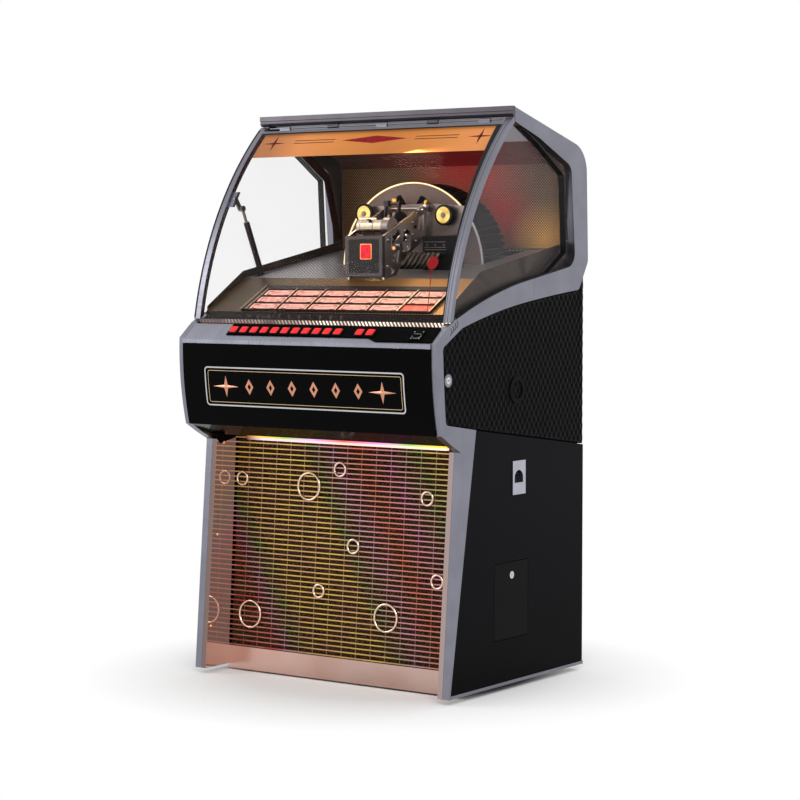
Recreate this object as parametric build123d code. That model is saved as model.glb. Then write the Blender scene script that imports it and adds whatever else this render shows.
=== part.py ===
from build123d import *
import math
import os

# A floor-standing jukebox that plays upright 7 inch records from a turning drum.
# All sizes are millimetres. X runs to the viewer's right, Y from front to back, Z up.
# The drawing datum is the front bottom corner of the side panels (y = 0, z = 0);
# every node is moved at the end so that the row's origin is the bottom centre.

# Overall size
HALF_WIDTH = 405.0
SIDE_SKIN = 20.0
BOARD = 12.0
LAMINATE_BACK = 3.0
FOOT_HEIGHT = 15.0
BACK_Y = 636.0
FRAME_BACK_Y = 653.0
INNER_SKIN_X = HALF_WIDTH - SIDE_SKIN
INNER_BOARD_X = INNER_SKIN_X - BOARD
LAMINATE_X = HALF_WIDTH - LAMINATE_BACK
GAP = 0.5

# Side outline, as (y, z)
FOOT = (0.0, 0.0)
KNEE = (51.0, 603.0)
STEP = (11.0, 623.0)
NOSE_LOW = (-33.0, 648.0)
NOSE_MID = (-50.0, 735.0)
NOSE_TOP = (-57.0, 873.0)
SILL = (-8.0, 912.0)
WINDOW_FRONT = (10.0, 921.0)
WINDOW_LOW_MID = (238.0, 997.5)
WINDOW_SPLIT = (385.0, 1026.5)
WINDOW_LOW_END = (540.0, 1053.0)
BAND_SPLIT = (385.0, 972.0)
BAND_LOW_MID = (240.0, 950.0)
BAND_FRONT = (56.0, 908.0)
NOSE_INNER_TOP = (-28.0, 862.0)
NOSE_INNER_MID = (-23.0, 770.0)
NOSE_INNER_LOW = (-15.0, 674.0)
TAPER_TOP = (118.0, 655.0)
TAPER_FOOT = (5.0, 0.0)
NOSE_INNER_RADIUS = 14.0

# Inner board of the side, from the post up to the window and back along it
BOARD_NOSE = (
    (50.0, 626.0), (12.5, 637.5), (-22.0, 655.0), (-32.0, 740.0), (-36.0, 862.0), (22.0, 905.0),
)
BOARD_TOP = (
    (22.0, 919.5), (79.0, 942.5), (238.0, 994.0), (372.0, 1021.0), (544.0, 1051.0), (600.0, 1060.0),
)

# Chrome window frame behind the split
ROOF_FRONT_Y = 293.0
ROOF_FRONT_Z = 1457.5
ROOF_CORNER = (643.0, 1362.0)
REAR_LOW = (FRAME_BACK_Y, 1070.0)
BAND_HEEL = (607.0, 996.0)
BAND_REAR_MID = (480.0, 983.5)
WINDOW_TOP_FRONT = (ROOF_FRONT_Y, 1421.0)
WINDOW_TOP_BEND = (408.0, 1385.0)
WINDOW_TOP_REAR = (566.0, 1318.0)
WINDOW_LOW_REAR = (588.0, 1062.0)
ROOF_CORNER_RADIUS = 78.0
REAR_LOW_RADIUS = 28.0
HEEL_RADIUS = 14.0
WINDOW_TOP_RADIUS = 34.0
WINDOW_LOW_RADIUS = 38.0

# Quilted pad and lower laminate
PAD_BOTTOM_FRONT = (119.0, 656.0)
PAD_BOTTOM_REAR = (BACK_Y, 588.5)
PAD_TOP_REAR = (BACK_Y, 1040.0)
PAD_CROWN = 2.0
PAD_EDGE = 6.0
PAD_INSET = 1.0
LAMINATE_TOP_FRONT = (119.0, 653.5)
LAMINATE_TOP_REAR = (BACK_Y, 586.5)
LAMINATE_TOE = (6.5, 0.0)

# Lid: a circular arc seen from the side, hinged under the roof edge
LID_CENTRE = (897.0, 760.0)
LID_RADIUS = 909.0
LID_BAR_DEPTH = 14.0
LID_LOW_Z = 914.0
LID_HIGH_Z = 1431.0
LID_REAR_LIMIT = 291.0
LID_UNDER = ((-20.0, 909.0), (-8.0, 914.5), (10.0, 924.0), (60.0, 945.0), (60.0, 900.0))
LID_LOW_RAIL_PROUD = 1.0
LID_KNUCKLE_WEB = 4.0
LID_TOP_RAIL = (1414.0, 1420.0)
LID_LOW_RAIL = (911.0, 921.0)
LID_GLASS_THICKNESS = 4.0
LID_GLASS_OUTER = 907.0
HEADER_OUTER = 901.0
HEADER_THICKNESS = 3.0
HEADER_LOW_Z = 1347.0
HEADER_HALF_WIDTH = 378.0
HINGE_Y = 284.0
HINGE_Z = 1427.0
HINGE_PIN_RADIUS = 2.0
HINGE_KNUCKLE_RADIUS = 4.5
HINGE_PIN_HALF_LENGTH = 372.0
HINGE_CLEARANCE = 0.05
KNUCKLE_LENGTH = 34.0
KNUCKLE_CENTRES = (-320.0, -160.0, 0.0, 160.0, 320.0)

# Gas strut on the left, from a bracket on the lid to a pin under the deck
STRUT_FOOT = (333.0, 810.0)
STRUT_HEAD = (150.0, 1210.0)
STRUT_X = -361.0
STRUT_TUBE_RADIUS = 8.0
STRUT_ROD_RADIUS = 4.0
STRUT_TUBE_START = 14.0
STRUT_TUBE_END = 400.0
STRUT_ROD_START = 96.0
STRUT_EYE_RADIUS = 8.0
STRUT_EYE_WIDTH = 10.0
STRUT_PIN_RADIUS = 3.5
STRUT_BORE_MARGIN = 4.0
BRACKET_GAP = 1.5
BRACKET_THICKNESS = 4.0
BRACKET_WIDTH = 14.0
BRACKET_RISE = 24.0
BRACKET_FOOT_HALF = 20.0
BRACKET_FOOT_THICKNESS = 8.0

# Roof, back and base
ROOF_TRIM_PROFILE = (
    (280.0, 1460.0), (279.0, 1448.0), (282.5, 1447.0), (282.5, 1441.0), (280.5, 1440.0),
    (287.0, 1433.0), (292.0, 1433.0), (292.0, 1460.0),
)
ROOF_OUTER = ((293.0, 1453.5), (640.0, 1357.5), (649.0, 1074.0))
ROOF_INNER = ((637.0, 1062.0), (628.0, 1348.0), (293.0, 1441.0))
ROOF_OUTER_RADIUS = 74.0
ROOF_INNER_RADIUS = 62.0
REAR_PANEL_THICKNESS = 12.0
REAR_PANEL_TOP = 1060.0
BASE_BOARD_Z = (8.0, 26.0)
BASE_BOARD_FRONT = 104.0
VENT_COUNT = 12
VENT_WIDTH = 10.0
VENT_HEIGHT = 120.0
VENT_PITCH = 30.0
VENT_LOW_Z = 700.0
INLET_WIDTH = 28.0
INLET_HEIGHT = 22.0
INLET_PLACE = (-260.0, 90.0)
BACK_WALL_Y = 618.0
BACK_WALL_THICKNESS = 2.0
BACK_WALL_Z = (1105.0, 1330.0)
FOOT_PAD_RADIUS = 22.0
FOOT_PAD_HEIGHT = 8.0
FOOT_STEM_RADIUS = 6.0
FOOT_X = 325.0
FOOT_YS = (140.0, 575.0)

# Lower front
POST_INNER_X = 370.0
POST_NOSING = 13.0
GRILLE_FOOT = (97.0, 50.0)
GRILLE_HEAD = (130.0, 610.0)
KICK_TOP = (96.9, 49.0)
KICK_FOOT = (93.5, -10.0)
KICK_THICKNESS = 3.0
BAR_COUNT = 43
BAR_HEIGHT = 3.0
BAR_DEPTH = 3.0
WIRE_COUNT = 15
WIRE_WIDTH = 1.6
WIRE_DEPTH = 2.0
RING_TUBE = 3.0
RINGS = (
    (-117.0, 486.0, 38.0), (-299.0, 138.0, 38.0), (142.0, 166.0, 38.0),
    (-340.0, 495.0, 20.0), (-18.0, 535.0, 20.5), (258.0, 476.0, 20.0),
    (32.0, 340.0, 20.5), (-74.0, 217.0, 19.5), (296.0, 270.0, 20.0),
)
SPEAKER_BOARD_OFFSET = 16.0
SPEAKER_BOARD_THICKNESS = 12.0
WOOFERS = ((-185.0, 210.0, 100.0), (185.0, 210.0, 100.0))
TWEETERS = ((-185.0, 460.0, 45.0), (185.0, 460.0, 45.0))
SPEAKER_FLANGE_WIDTH = 8.0
SPEAKER_FLANGE_THICKNESS = 4.0
BASKET_DEPTH_SHARE = 0.55
MAGNET_SHARE = 0.45
MAGNET_DEPTH = 28.0
LIGHT_STRIP_Y = (114.0, 124.0)
LIGHT_STRIP_Z = (600.0, 616.0)
LIGHT_STRIP_HALF_WIDTH = 320.0

# Nose panel and sign: a curved sheet that lies on the trims' front edges
NOSE_HALF_WIDTH = 390.0
NOSE_BACK = 0.2
NOSE_FACE = 4.0
NOSE_Z = (648.0, 859.5)
NOSE_UNDER = ((9.0, 631.0), (48.0, 617.0), (49.5, 621.0), (12.0, 635.5), (-31.0, 653.0))
NOSE_SOFFIT_Y = (48.0, 128.0)
NOSE_SOFFIT_Z = (617.0, 621.0)
SIGN_Z = (700.0, 800.5)
SIGN_HALF_WIDTH = 314.5
SIGN_CORNER = 10.0
SIGN_BORDER = 5.5
SIGN_GLASS = 2.5
SIGN_BORDER_PROUD = 4.0

# Keypad ledge: a sloping plate. Local axes: x, s up the slope, n out of it
LEDGE_ANGLE = 39.2
LEDGE_ORIGIN = (0.0, -57.0, 873.0)
LEDGE_S = (-5.0, 57.0)
LEDGE_LIP = ((-61.3, 860.0), (-61.0, 869.7), (-57.4, 872.6), (-57.4, 860.0))
LEDGE_THICKNESS = 3.0
BEZEL_THICKNESS = 2.5
BEZEL_LEFT = -256.0
BEZEL_RIGHT = 390.0
BEZEL_STEP_X = (193.0, 222.0)
BEZEL_S = (1.5, 14.0, 56.0)
BUTTON_FIRST_X = -238.2
BUTTON_PITCH = 33.36
BUTTON_PLACES = (0, 1, 2, 3, 4, 5, 6, 7, 8, 9, 10, 12, 13)
BUTTON_S = 30.0
BUTTON_WIDTH = 26.0
BUTTON_LENGTH = 24.0
BUTTON_TOP = 8.0
BUTTON_LIP = 2.0
BUTTON_LIP_DEPTH = 2.0
BUTTON_PLUNGER_RADIUS = 4.0
BUTTON_PLUNGER_END = -10.0
SWITCH_BOARD_N = (-18.0, -15.0)
SWITCH_BOARD_MARGIN = 20.0
SWITCH_BOARD_HALF = 14.0
COIN_ENTRY_X = 338.0
COIN_ENTRY_S = 25.0
COIN_ENTRY_SIZE = (34.0, 36.0)
COIN_ENTRY_THICKNESS = 2.0
COIN_SLOT = (27.0, 3.2)

# Fittings on the right-hand side, as (y, z)
PORT_CENTRE = (309.0, 746.0)
PORT_FLANGE_RADIUS = 35.0
PORT_BORE_RADIUS = 23.0
PORT_TUBE_WALL = 3.0
PORT_DEPTH = 95.0
LOCK_CENTRE = (-4.0, 782.0)
LOCK_RING_RADIUS = 16.0
LOCK_BARREL_RADIUS = 9.0
LOCK_DEPTH = 45.0
LOCK_CLEARANCE = 0.1
KEY_SLOT = (2.0, 10.0, 4.0)
COIN_PLATE_Y = (287.0, 347.0)
COIN_PLATE_Z = (480.0, 566.0)
COIN_PLATE_THICKNESS = 3.0
CUP_Y = (293.0, 337.0)
CUP_Z = (508.0, 544.0)
CUP_X = 352.0
CUP_WALL = 2.0
DOOR_Y = (207.0, 364.0)
DOOR_Z = (116.5, 310.0)
DOOR_THICKNESS = 10.0
DOOR_GAP = 1.5
DOOR_HINGE_X = 400.0
DOOR_HINGE_Z = 118.5
DOOR_PIN_RADIUS = 1.2
DOOR_PIN_REACH = 6.0
DOOR_LOCK_CENTRE = (286.0, 277.0)
DOOR_LOCK_RADIUS = 9.5
DOOR_LOCK_PROUD = 1.5
DOOR_LOCK_CAM = (14.0, 44.0, 3.0)
DOOR_LOCK_BARREL_END = 370.0

# Deck inside the lid: a ribbed skirt that rises to a patterned platform
SKIRT_FRONT = (22.0, 941.0)
DECK_FOLD = (180.0, 1027.0)
DECK_REAR = (616.0, 1102.5)
DECK_THICKNESS = 3.0
DECK_HALF_WIDTH = 379.0
DECK_UNDER_Z = 900.0
DECK_CUT_Z = (1000.0, 1200.0)
STRIP_THICKNESS = 2.0
STRIP_TOP = ((28.0, 954.0), (175.0, 1045.0), (600.0, 1124.5))
WINDOW_PANE = 4.0
PANE_REAR = ((594.0, 1061.0), (594.0, 1225.0), (578.0, 1310.0), (556.0, 1334.0), (410.0, 1396.0))
PANE_FRONT_RADIUS = 893.0
PANE_LOW_Z = 923.0
PANE_MID_Z = 1190.0
PANE_TOP_Z = 1428.0
NUMBER_STRIP = ((21.0, 919.0), (25.0, 940.0), (23.0, 940.0), (19.0, 919.0))
SILL_LINE = ((-12.8, 909.0), (20.0, 909.5), (20.0, 906.5), (-10.9, 906.7))
STRUT_SLOT = (-372.0, -350.0, 196.0, 258.0)

# Title rack on the skirt. Local axes: x, t up the skirt, n out of it
SKIRT_ANGLE = math.degrees(math.atan2(DECK_FOLD[1] - SKIRT_FRONT[1], DECK_FOLD[0] - SKIRT_FRONT[0]))
RACK_X = (-262.0, 333.0)
RACK_T = (1.0, 125.0)
RACK_BASE = 3.0
RACK_HEIGHT = 8.0
RACK_BORDER = 3.0
RACK_MARGIN = 16.0
RACK_COLUMNS = 6
RACK_ROWS = 3
CARD_THICKNESS = 1.5
CARD_GAP = 1.0

# Record drum and records, turning about a line along Y
DRUM_X = 12.0
DRUM_Z = 1055.0
DRUM_FRONT_Y = 400.0
DRUM_PLATE_RADIUS = 225.0
DRUM_PLATE_THICKNESS = 6.0
DRUM_RIM = 3.0
RECORD_RADIUS = 89.0
RECORD_HOLE_RADIUS = 19.0
RECORD_THICKNESS = 1.6
RECORD_COUNT = 70
RECORD_RING_RADIUS = 135.0
RECORD_CENTRE_Y = 501.0
DRUM_HUB_RADIUS = 46.0
DRUM_REAR_PLATE_RADIUS = 120.0
DRUM_REAR_PLATE_Y = 593.0
DRUM_REAR_PLATE_THICKNESS = 4.0
DRUM_SHAFT_RADIUS = 8.0
DRUM_SHAFT_Y = (384.0, 614.0)
DRUM_OPENING_MARGIN = 8.0
CRADLE_HALF_WIDTH = 26.0
CRADLE_POST = 9.0
CRADLE_LOW_Z = 800.0
CRADLE_BAR = 12.0
CRADLE_RAIL_Y = (470.0, 510.0)
CRADLE_TOP_REACH = 18.0

# Play mechanism: two truss plates on the deck, with a box in front
TRUSS_X = (-28.0, 83.0)
TRUSS_THICKNESS = 4.0
TRUSS_OUTLINE = (
    (172.0, 1020.0), (172.0, 1136.0), (362.0, 1223.0), (371.0, 1223.0), (364.0, 1196.0),
    (352.0, 1132.0), (342.0, 1124.0), (297.0, 1098.0), (249.0, 1068.0), (228.0, 1040.0),
    (228.0, 1030.0),
)
TRUSS_HOLES = (
    ((203.0, 1107.0), (203.0, 1144.0), (238.0, 1154.0), (243.0, 1138.0)),
    ((212.0, 1087.0), (238.0, 1100.0), (229.0, 1066.0)),
    ((199.0, 1059.0), (221.0, 1048.0), (203.0, 1036.0)),
    ((326.0, 1151.0), (328.0, 1186.0), (349.0, 1195.0), (345.0, 1151.0)),
)
TRUSS_SLOT = ((272.0, 1114.0), (275.0, 1136.0), 36.0)
CROSS_RODS = ((356.0, 1208.0, 4.0), (190.0, 1124.0, 3.5), (214.0, 1072.0, 3.0))
CROSS_ROD_END = 6.0
BACK_PLATE_Y = (373.0, 377.0)
BACK_PLATE = (
    (-128.0, 1180.0), (-128.0, 1216.0), (86.0, 1222.0), (206.0, 1214.0), (206.0, 1140.0), (84.0, 1136.0),
)
TIE_Z = (1200.0, 1215.0)
GUIDE_Y = (377.0, 385.0)
GUIDE_LEFT = ((-18.0, 1242.0), (14.0, 1196.0))
GUIDE_RIGHT = ((64.0, 1240.0), (36.0, 1196.0))
GUIDE_WIDTH = 15.0
MOTOR_CENTRE = (214.0, 1160.0)
MOTOR_RADIUS = 24.0
MOTOR_X = (-16.0, 83.0)
COVER_X = (-30.0, 89.0)
COVER_Y = (162.0, 172.0)
COVER_Z = (1030.0, 1136.0)
PULLEY_Y = (352.0, 362.0)
PULLEY_RADIUS = 27.0
PULLEY_HUB_RADIUS = 21.5
PULLEY_HUB_RECESS = 2.0
PULLEY_SHAFT_RADIUS = 4.0
PULLEY_SHAFT_PROUD = 4.0
PULLEY_LEFT = (-110.0, 1197.0)
PULLEY_RIGHT = (146.0, 1191.0)
CONTROL_X = (118.0, 214.0)
CONTROL_Y = (300.0, 345.0)
CONTROL_Z = (1045.0, 1134.0)
FIN_COUNT = 7
FIN_FIRST_X = 96.0
FIN_PITCH = 15.0
FIN_THICKNESS = 5.0
FIN_Y = (250.0, 280.0)
FIN_LOW_Z = 1046.0
FIN_HEIGHT = 52.0
FIN_LEAN = 38.0
TURNTABLE_CENTRE = (309.0, 1160.0)
TURNTABLE_RADIUS = 40.0
TURNTABLE_X = (36.0, 42.0)
TURNTABLE_SHAFT_RADIUS = 5.0
TURNTABLE_SPINDLE = 8.0
SHAFT_PROUD = 2.0
SHAFT_CLEARANCE = 0.05
GRIPPER_PIVOT = (310.0, 1122.0)
GRIPPER_TIP = (328.0, 1222.0)
GRIPPER_XS = (-20.0, 22.0)
GRIPPER_ARM = 4.0
GRIPPER_WIDTH = 12.0
GRIPPER_SHAFT_RADIUS = 4.0
GRIPPER_BAR_RADIUS = 3.0
GRIPPER_HEAD_X = (-22.0, -8.0)
GRIPPER_HEAD_SIZE = 15.0
TONEARM_PIVOT = (232.0, 1112.0)
TONEARM_TIP = (286.0, 1176.0)
TONEARM_X = (6.0, 14.0)
TONEARM_WIDTH = 8.0
TONEARM_HUB_RADIUS = 9.0
TONEARM_STUB_RADIUS = 3.5
HEADSHELL = (14.0, 20.0, 9.0)
HEADSHELL_X = 14.0

# Amplifier on the base board
AMPLIFIER_X = (-330.0, -70.0)
AMPLIFIER_Y = (400.0, 570.0)
AMPLIFIER_HEIGHT = 95.0
HEAT_SINK_COUNT = 12
HEAT_SINK_HEIGHT = 30.0
HEAT_SINK_THICKNESS = 4.0

NODES = {}


def keep(name, *solids):
    """Hold one node's solids until they are written."""
    NODES[name] = list(solids)


def point(pair):
    return Vector(0, pair[0], pair[1])


def side_face(start, *steps):
    """A face in the YZ plane: a (y, z) step is a line to it, a (mid, end) step is an arc."""
    edges = []
    here = start
    for step in steps:
        if isinstance(step[0], tuple):
            edges.append(ThreePointArc(point(here), point(step[0]), point(step[1])))
            here = step[1]
        else:
            edges.append(Line(point(here), point(step)))
            here = step
    if here != start:
        edges.append(Line(point(here), point(start)))
    return Face(Wire(edges))


def rounded(face, *corners):
    """Fillet the face's corners nearest to each ((y, z), radius)."""
    for corner, radius in corners:
        vertex = min(face.vertices(), key=lambda v: (v.center() - point(corner)).length)
        face = face.fillet_2d(radius, [vertex])
    return face


def across(face, x_low, x_high):
    """Extrude a face of the YZ plane from x_low to x_high."""
    return Pos(x_low, 0, 0) * extrude(face, amount=x_high - x_low, dir=(1, 0, 0))


def block(x_range, y_range, z_range):
    size = [high - low for low, high in (x_range, y_range, z_range)]
    low = (x_range[0], y_range[0], z_range[0])
    return Pos(*low) * Box(*size, align=(Align.MIN, Align.MIN, Align.MIN))


def rod_x(centre, radius, x_low, x_high):
    body = Cylinder(radius, x_high - x_low, align=(Align.CENTER, Align.CENTER, Align.MIN))
    return Pos(x_low, centre[0], centre[1]) * Rot(0, 90, 0) * body


def rod_y(centre, radius, y_low, y_high):
    body = Cylinder(radius, y_high - y_low, align=(Align.CENTER, Align.CENTER, Align.MIN))
    return Pos(centre[0], y_low, centre[1]) * Rot(-90, 0, 0) * body


def rod_z(centre, radius, z_low, z_high):
    body = Cylinder(radius, z_high - z_low, align=(Align.CENTER, Align.CENTER, Align.MIN))
    return Pos(centre[0], centre[1], z_low) * body


def both_sides(solid):
    return solid, mirror(solid, about=Plane.YZ)


def bar_between(first, second, width, x_low, x_high):
    """A flat bar in the YZ plane with round ends, between two (y, z) points."""
    length = math.dist(first, second)
    angle = math.degrees(math.atan2(second[1] - first[1], second[0] - first[0]))
    middle = ((first[0] + second[0]) / 2, (first[1] + second[1]) / 2)
    web = Pos((x_low + x_high) / 2, *middle) * Rot(angle, 0, 0) * Box(x_high - x_low, length, width)
    ends = rod_x(first, width / 2, x_low, x_high) + rod_x(second, width / 2, x_low, x_high)
    return web + ends


def circle_y(centre, radius, z):
    """The front (low y) side of a circle in the YZ plane, at height z."""
    return centre[0] - math.sqrt(radius**2 - (z - centre[1]) ** 2)


def lid_band(outer, inner, z_low, z_high, x_low, x_high):
    """A slice of the lid's curve between two radii and two heights."""
    z_mid = (z_low + z_high) / 2

    def at(radius, z):
        return (circle_y(LID_CENTRE, radius, z), z)

    face = side_face(
        at(outer, z_low),
        (at(outer, z_mid), at(outer, z_high)),
        at(inner, z_high),
        (at(inner, z_mid), at(inner, z_low)),
    )
    return across(face, x_low, x_high)


def grille_y(z):
    share = (z - GRILLE_FOOT[1]) / (GRILLE_HEAD[1] - GRILLE_FOOT[1])
    return GRILLE_FOOT[0] + share * (GRILLE_HEAD[0] - GRILLE_FOOT[0])


def on_grille(x, z, depth):
    """A place in the leaning grille plane, depth behind it."""
    lean = math.radians(GRILLE_TILT)
    place = Pos(x, grille_y(z) + depth * math.cos(lean), z - depth * math.sin(lean))
    return place * Rot(-GRILLE_TILT, 0, 0)


GRILLE_TILT = math.degrees(math.atan2(GRILLE_HEAD[0] - GRILLE_FOOT[0], GRILLE_HEAD[1] - GRILLE_FOOT[1]))
LEDGE_NORMAL = Vector(0, 0, 1).rotate(Axis.X, LEDGE_ANGLE)
LEDGE = Location(Plane(origin=LEDGE_ORIGIN, x_dir=(1, 0, 0), z_dir=LEDGE_NORMAL))
SKIRT_NORMAL = Vector(0, 0, 1).rotate(Axis.X, SKIRT_ANGLE)
SKIRT = Location(Plane(origin=(0, *SKIRT_FRONT), x_dir=(1, 0, 0), z_dir=SKIRT_NORMAL))
STRUT_LENGTH = math.dist(STRUT_FOOT, STRUT_HEAD)
STRUT_ANGLE = math.degrees(math.atan2(STRUT_HEAD[1] - STRUT_FOOT[1], STRUT_HEAD[0] - STRUT_FOOT[0]))
BUTTON_XS = [BUTTON_FIRST_X + BUTTON_PITCH * place for place in BUTTON_PLACES]


# Cabinet shell


def trim_face():
    face = side_face(
        FOOT, KNEE, STEP, NOSE_LOW, (NOSE_MID, NOSE_TOP), SILL, WINDOW_FRONT,
        (WINDOW_LOW_MID, WINDOW_SPLIT), BAND_SPLIT, (BAND_LOW_MID, BAND_FRONT),
        NOSE_INNER_TOP, (NOSE_INNER_MID, NOSE_INNER_LOW), TAPER_TOP, TAPER_FOOT,
    )
    return rounded(face, (NOSE_INNER_TOP, NOSE_INNER_RADIUS), (NOSE_INNER_LOW, NOSE_INNER_RADIUS))


def frame_face():
    face = side_face(
        (BAND_SPLIT[0] + GAP, BAND_SPLIT[1]),
        (BAND_REAR_MID, BAND_HEEL),
        REAR_LOW, ROOF_CORNER, (ROOF_FRONT_Y, ROOF_FRONT_Z), WINDOW_TOP_FRONT,
        WINDOW_TOP_BEND, WINDOW_TOP_REAR, WINDOW_LOW_REAR, WINDOW_LOW_END,
        (WINDOW_SPLIT[0] + GAP, WINDOW_SPLIT[1]),
    )
    return rounded(
        face,
        (ROOF_CORNER, ROOF_CORNER_RADIUS),
        (REAR_LOW, REAR_LOW_RADIUS),
        (BAND_HEEL, HEEL_RADIUS),
        (WINDOW_TOP_REAR, WINDOW_TOP_RADIUS),
        (WINDOW_LOW_REAR, WINDOW_LOW_RADIUS),
    )


def pad_face(inset):
    """The quilted pad's outline, drawn in by inset on every side."""
    face = side_face(
        PAD_BOTTOM_FRONT, PAD_BOTTOM_REAR, PAD_TOP_REAR,
        (BAND_HEEL[0], BAND_HEEL[1] - PAD_INSET),
        ((BAND_REAR_MID[0], BAND_REAR_MID[1] - PAD_INSET), (BAND_SPLIT[0], BAND_SPLIT[1] - PAD_INSET)),
        ((BAND_LOW_MID[0], BAND_LOW_MID[1] - PAD_INSET), (BAND_FRONT[0], BAND_FRONT[1] - PAD_INSET)),
        (NOSE_INNER_TOP[0] + PAD_INSET, NOSE_INNER_TOP[1] - PAD_INSET),
        (
            (NOSE_INNER_MID[0] + PAD_INSET, NOSE_INNER_MID[1]),
            (NOSE_INNER_LOW[0] + PAD_INSET, NOSE_INNER_LOW[1] + PAD_INSET),
        ),
    )
    corners = ((NOSE_INNER_TOP, NOSE_INNER_RADIUS), (NOSE_INNER_LOW, NOSE_INNER_RADIUS))
    face = rounded(face, *corners)
    if inset:
        face = offset(face, amount=-inset).face()
    return face


def quilt_pad(side):
    """A pad with a crowned face; the right-hand one has holes for the port and the lock."""
    base = across(pad_face(0), INNER_SKIN_X, LAMINATE_X - PAD_CROWN)
    crown = loft(
        [
            Pos(LAMINATE_X - PAD_CROWN, 0, 0) * pad_face(0),
            Pos(LAMINATE_X, 0, 0) * pad_face(PAD_EDGE),
        ],
        ruled=True,
    )
    pad = base + crown
    if side == "right":
        pad -= rod_x(PORT_CENTRE, PORT_FLANGE_RADIUS, INNER_SKIN_X, HALF_WIDTH)
        pad -= rod_x(LOCK_CENTRE, LOCK_RING_RADIUS, INNER_SKIN_X, HALF_WIDTH)
        return pad
    return mirror(pad, about=Plane.YZ)


def side_panel(side):
    """Inner board with the lower laminate; the right-hand one carries the fittings."""
    board = side_face(
        (POST_NOSING + GAP, 0.0), (KNEE[0] + POST_NOSING + GAP, KNEE[1] - POST_NOSING),
        *BOARD_NOSE, *BOARD_TOP, (BACK_Y, BOARD_TOP[-1][1]), (BACK_Y, 0.0),
    )
    laminate = side_face(LAMINATE_TOE, LAMINATE_TOP_FRONT, LAMINATE_TOP_REAR, (BACK_Y, 0.0))
    panel = across(board, INNER_BOARD_X, INNER_SKIN_X) + across(laminate, INNER_SKIN_X, LAMINATE_X)
    panel -= block(
        (LAMINATE_X - LAMINATE_BACK, HALF_WIDTH), (0.0, BACK_Y), (0.0, BASE_BOARD_Z[0])
    )
    if side == "left":
        panel = mirror(panel, about=Plane.YZ)
        return panel + rod_x(STRUT_FOOT, STRUT_PIN_RADIUS, -INNER_BOARD_X, STRUT_X + STRUT_EYE_WIDTH)
    panel -= rod_x(PORT_CENTRE, PORT_BORE_RADIUS + PORT_TUBE_WALL, INNER_BOARD_X, HALF_WIDTH)
    panel -= rod_x(LOCK_CENTRE, LOCK_BARREL_RADIUS + LOCK_CLEARANCE, INNER_BOARD_X, HALF_WIDTH)
    panel -= block((INNER_BOARD_X, HALF_WIDTH), CUP_Y, CUP_Z)
    door_hole_y = (DOOR_Y[0] - DOOR_GAP, DOOR_Y[1] + DOOR_GAP)
    door_hole_z = (DOOR_Z[0] - DOOR_GAP, DOOR_Z[1] + DOOR_GAP)
    panel -= block((INNER_BOARD_X, HALF_WIDTH), door_hole_y, door_hole_z)
    pin_y = (door_hole_y[0] - DOOR_PIN_REACH, door_hole_y[1] + DOOR_PIN_REACH)
    panel -= rod_y((DOOR_HINGE_X, DOOR_HINGE_Z), DOOR_PIN_RADIUS + HINGE_CLEARANCE, *pin_y)
    return panel


def base_strip():
    """A thin bright strip along the bottom edge of the side."""
    return block(
        (LAMINATE_X - LAMINATE_BACK, HALF_WIDTH), (LAMINATE_TOE[0], BACK_Y), (0.0, BASE_BOARD_Z[0])
    )


def window_pane():
    low, mid, top = [
        (circle_y(LID_CENTRE, PANE_FRONT_RADIUS, z), z) for z in (PANE_LOW_Z, PANE_MID_Z, PANE_TOP_Z)
    ]
    sill = [(y, z + GAP) for y, z in BOARD_TOP[1:-1]]
    face = side_face(low, *sill, *PANE_REAR, top, (mid, low))
    return across(face, INNER_SKIN_X - WINDOW_PANE, INNER_SKIN_X)


def make_sides():
    keep("left_side_panel", side_panel("left"))
    keep("right_side_panel", side_panel("right"))
    keep("quilt_pads", quilt_pad("left"), quilt_pad("right"))
    keep("window_frames", *both_sides(across(frame_face(), INNER_SKIN_X, HALF_WIDTH)))
    trim = across(trim_face(), INNER_SKIN_X, HALF_WIDTH)
    keep("side_trims", *both_sides(trim), *both_sides(base_strip()))
    keep("side_windows", *both_sides(window_pane()))


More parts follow.
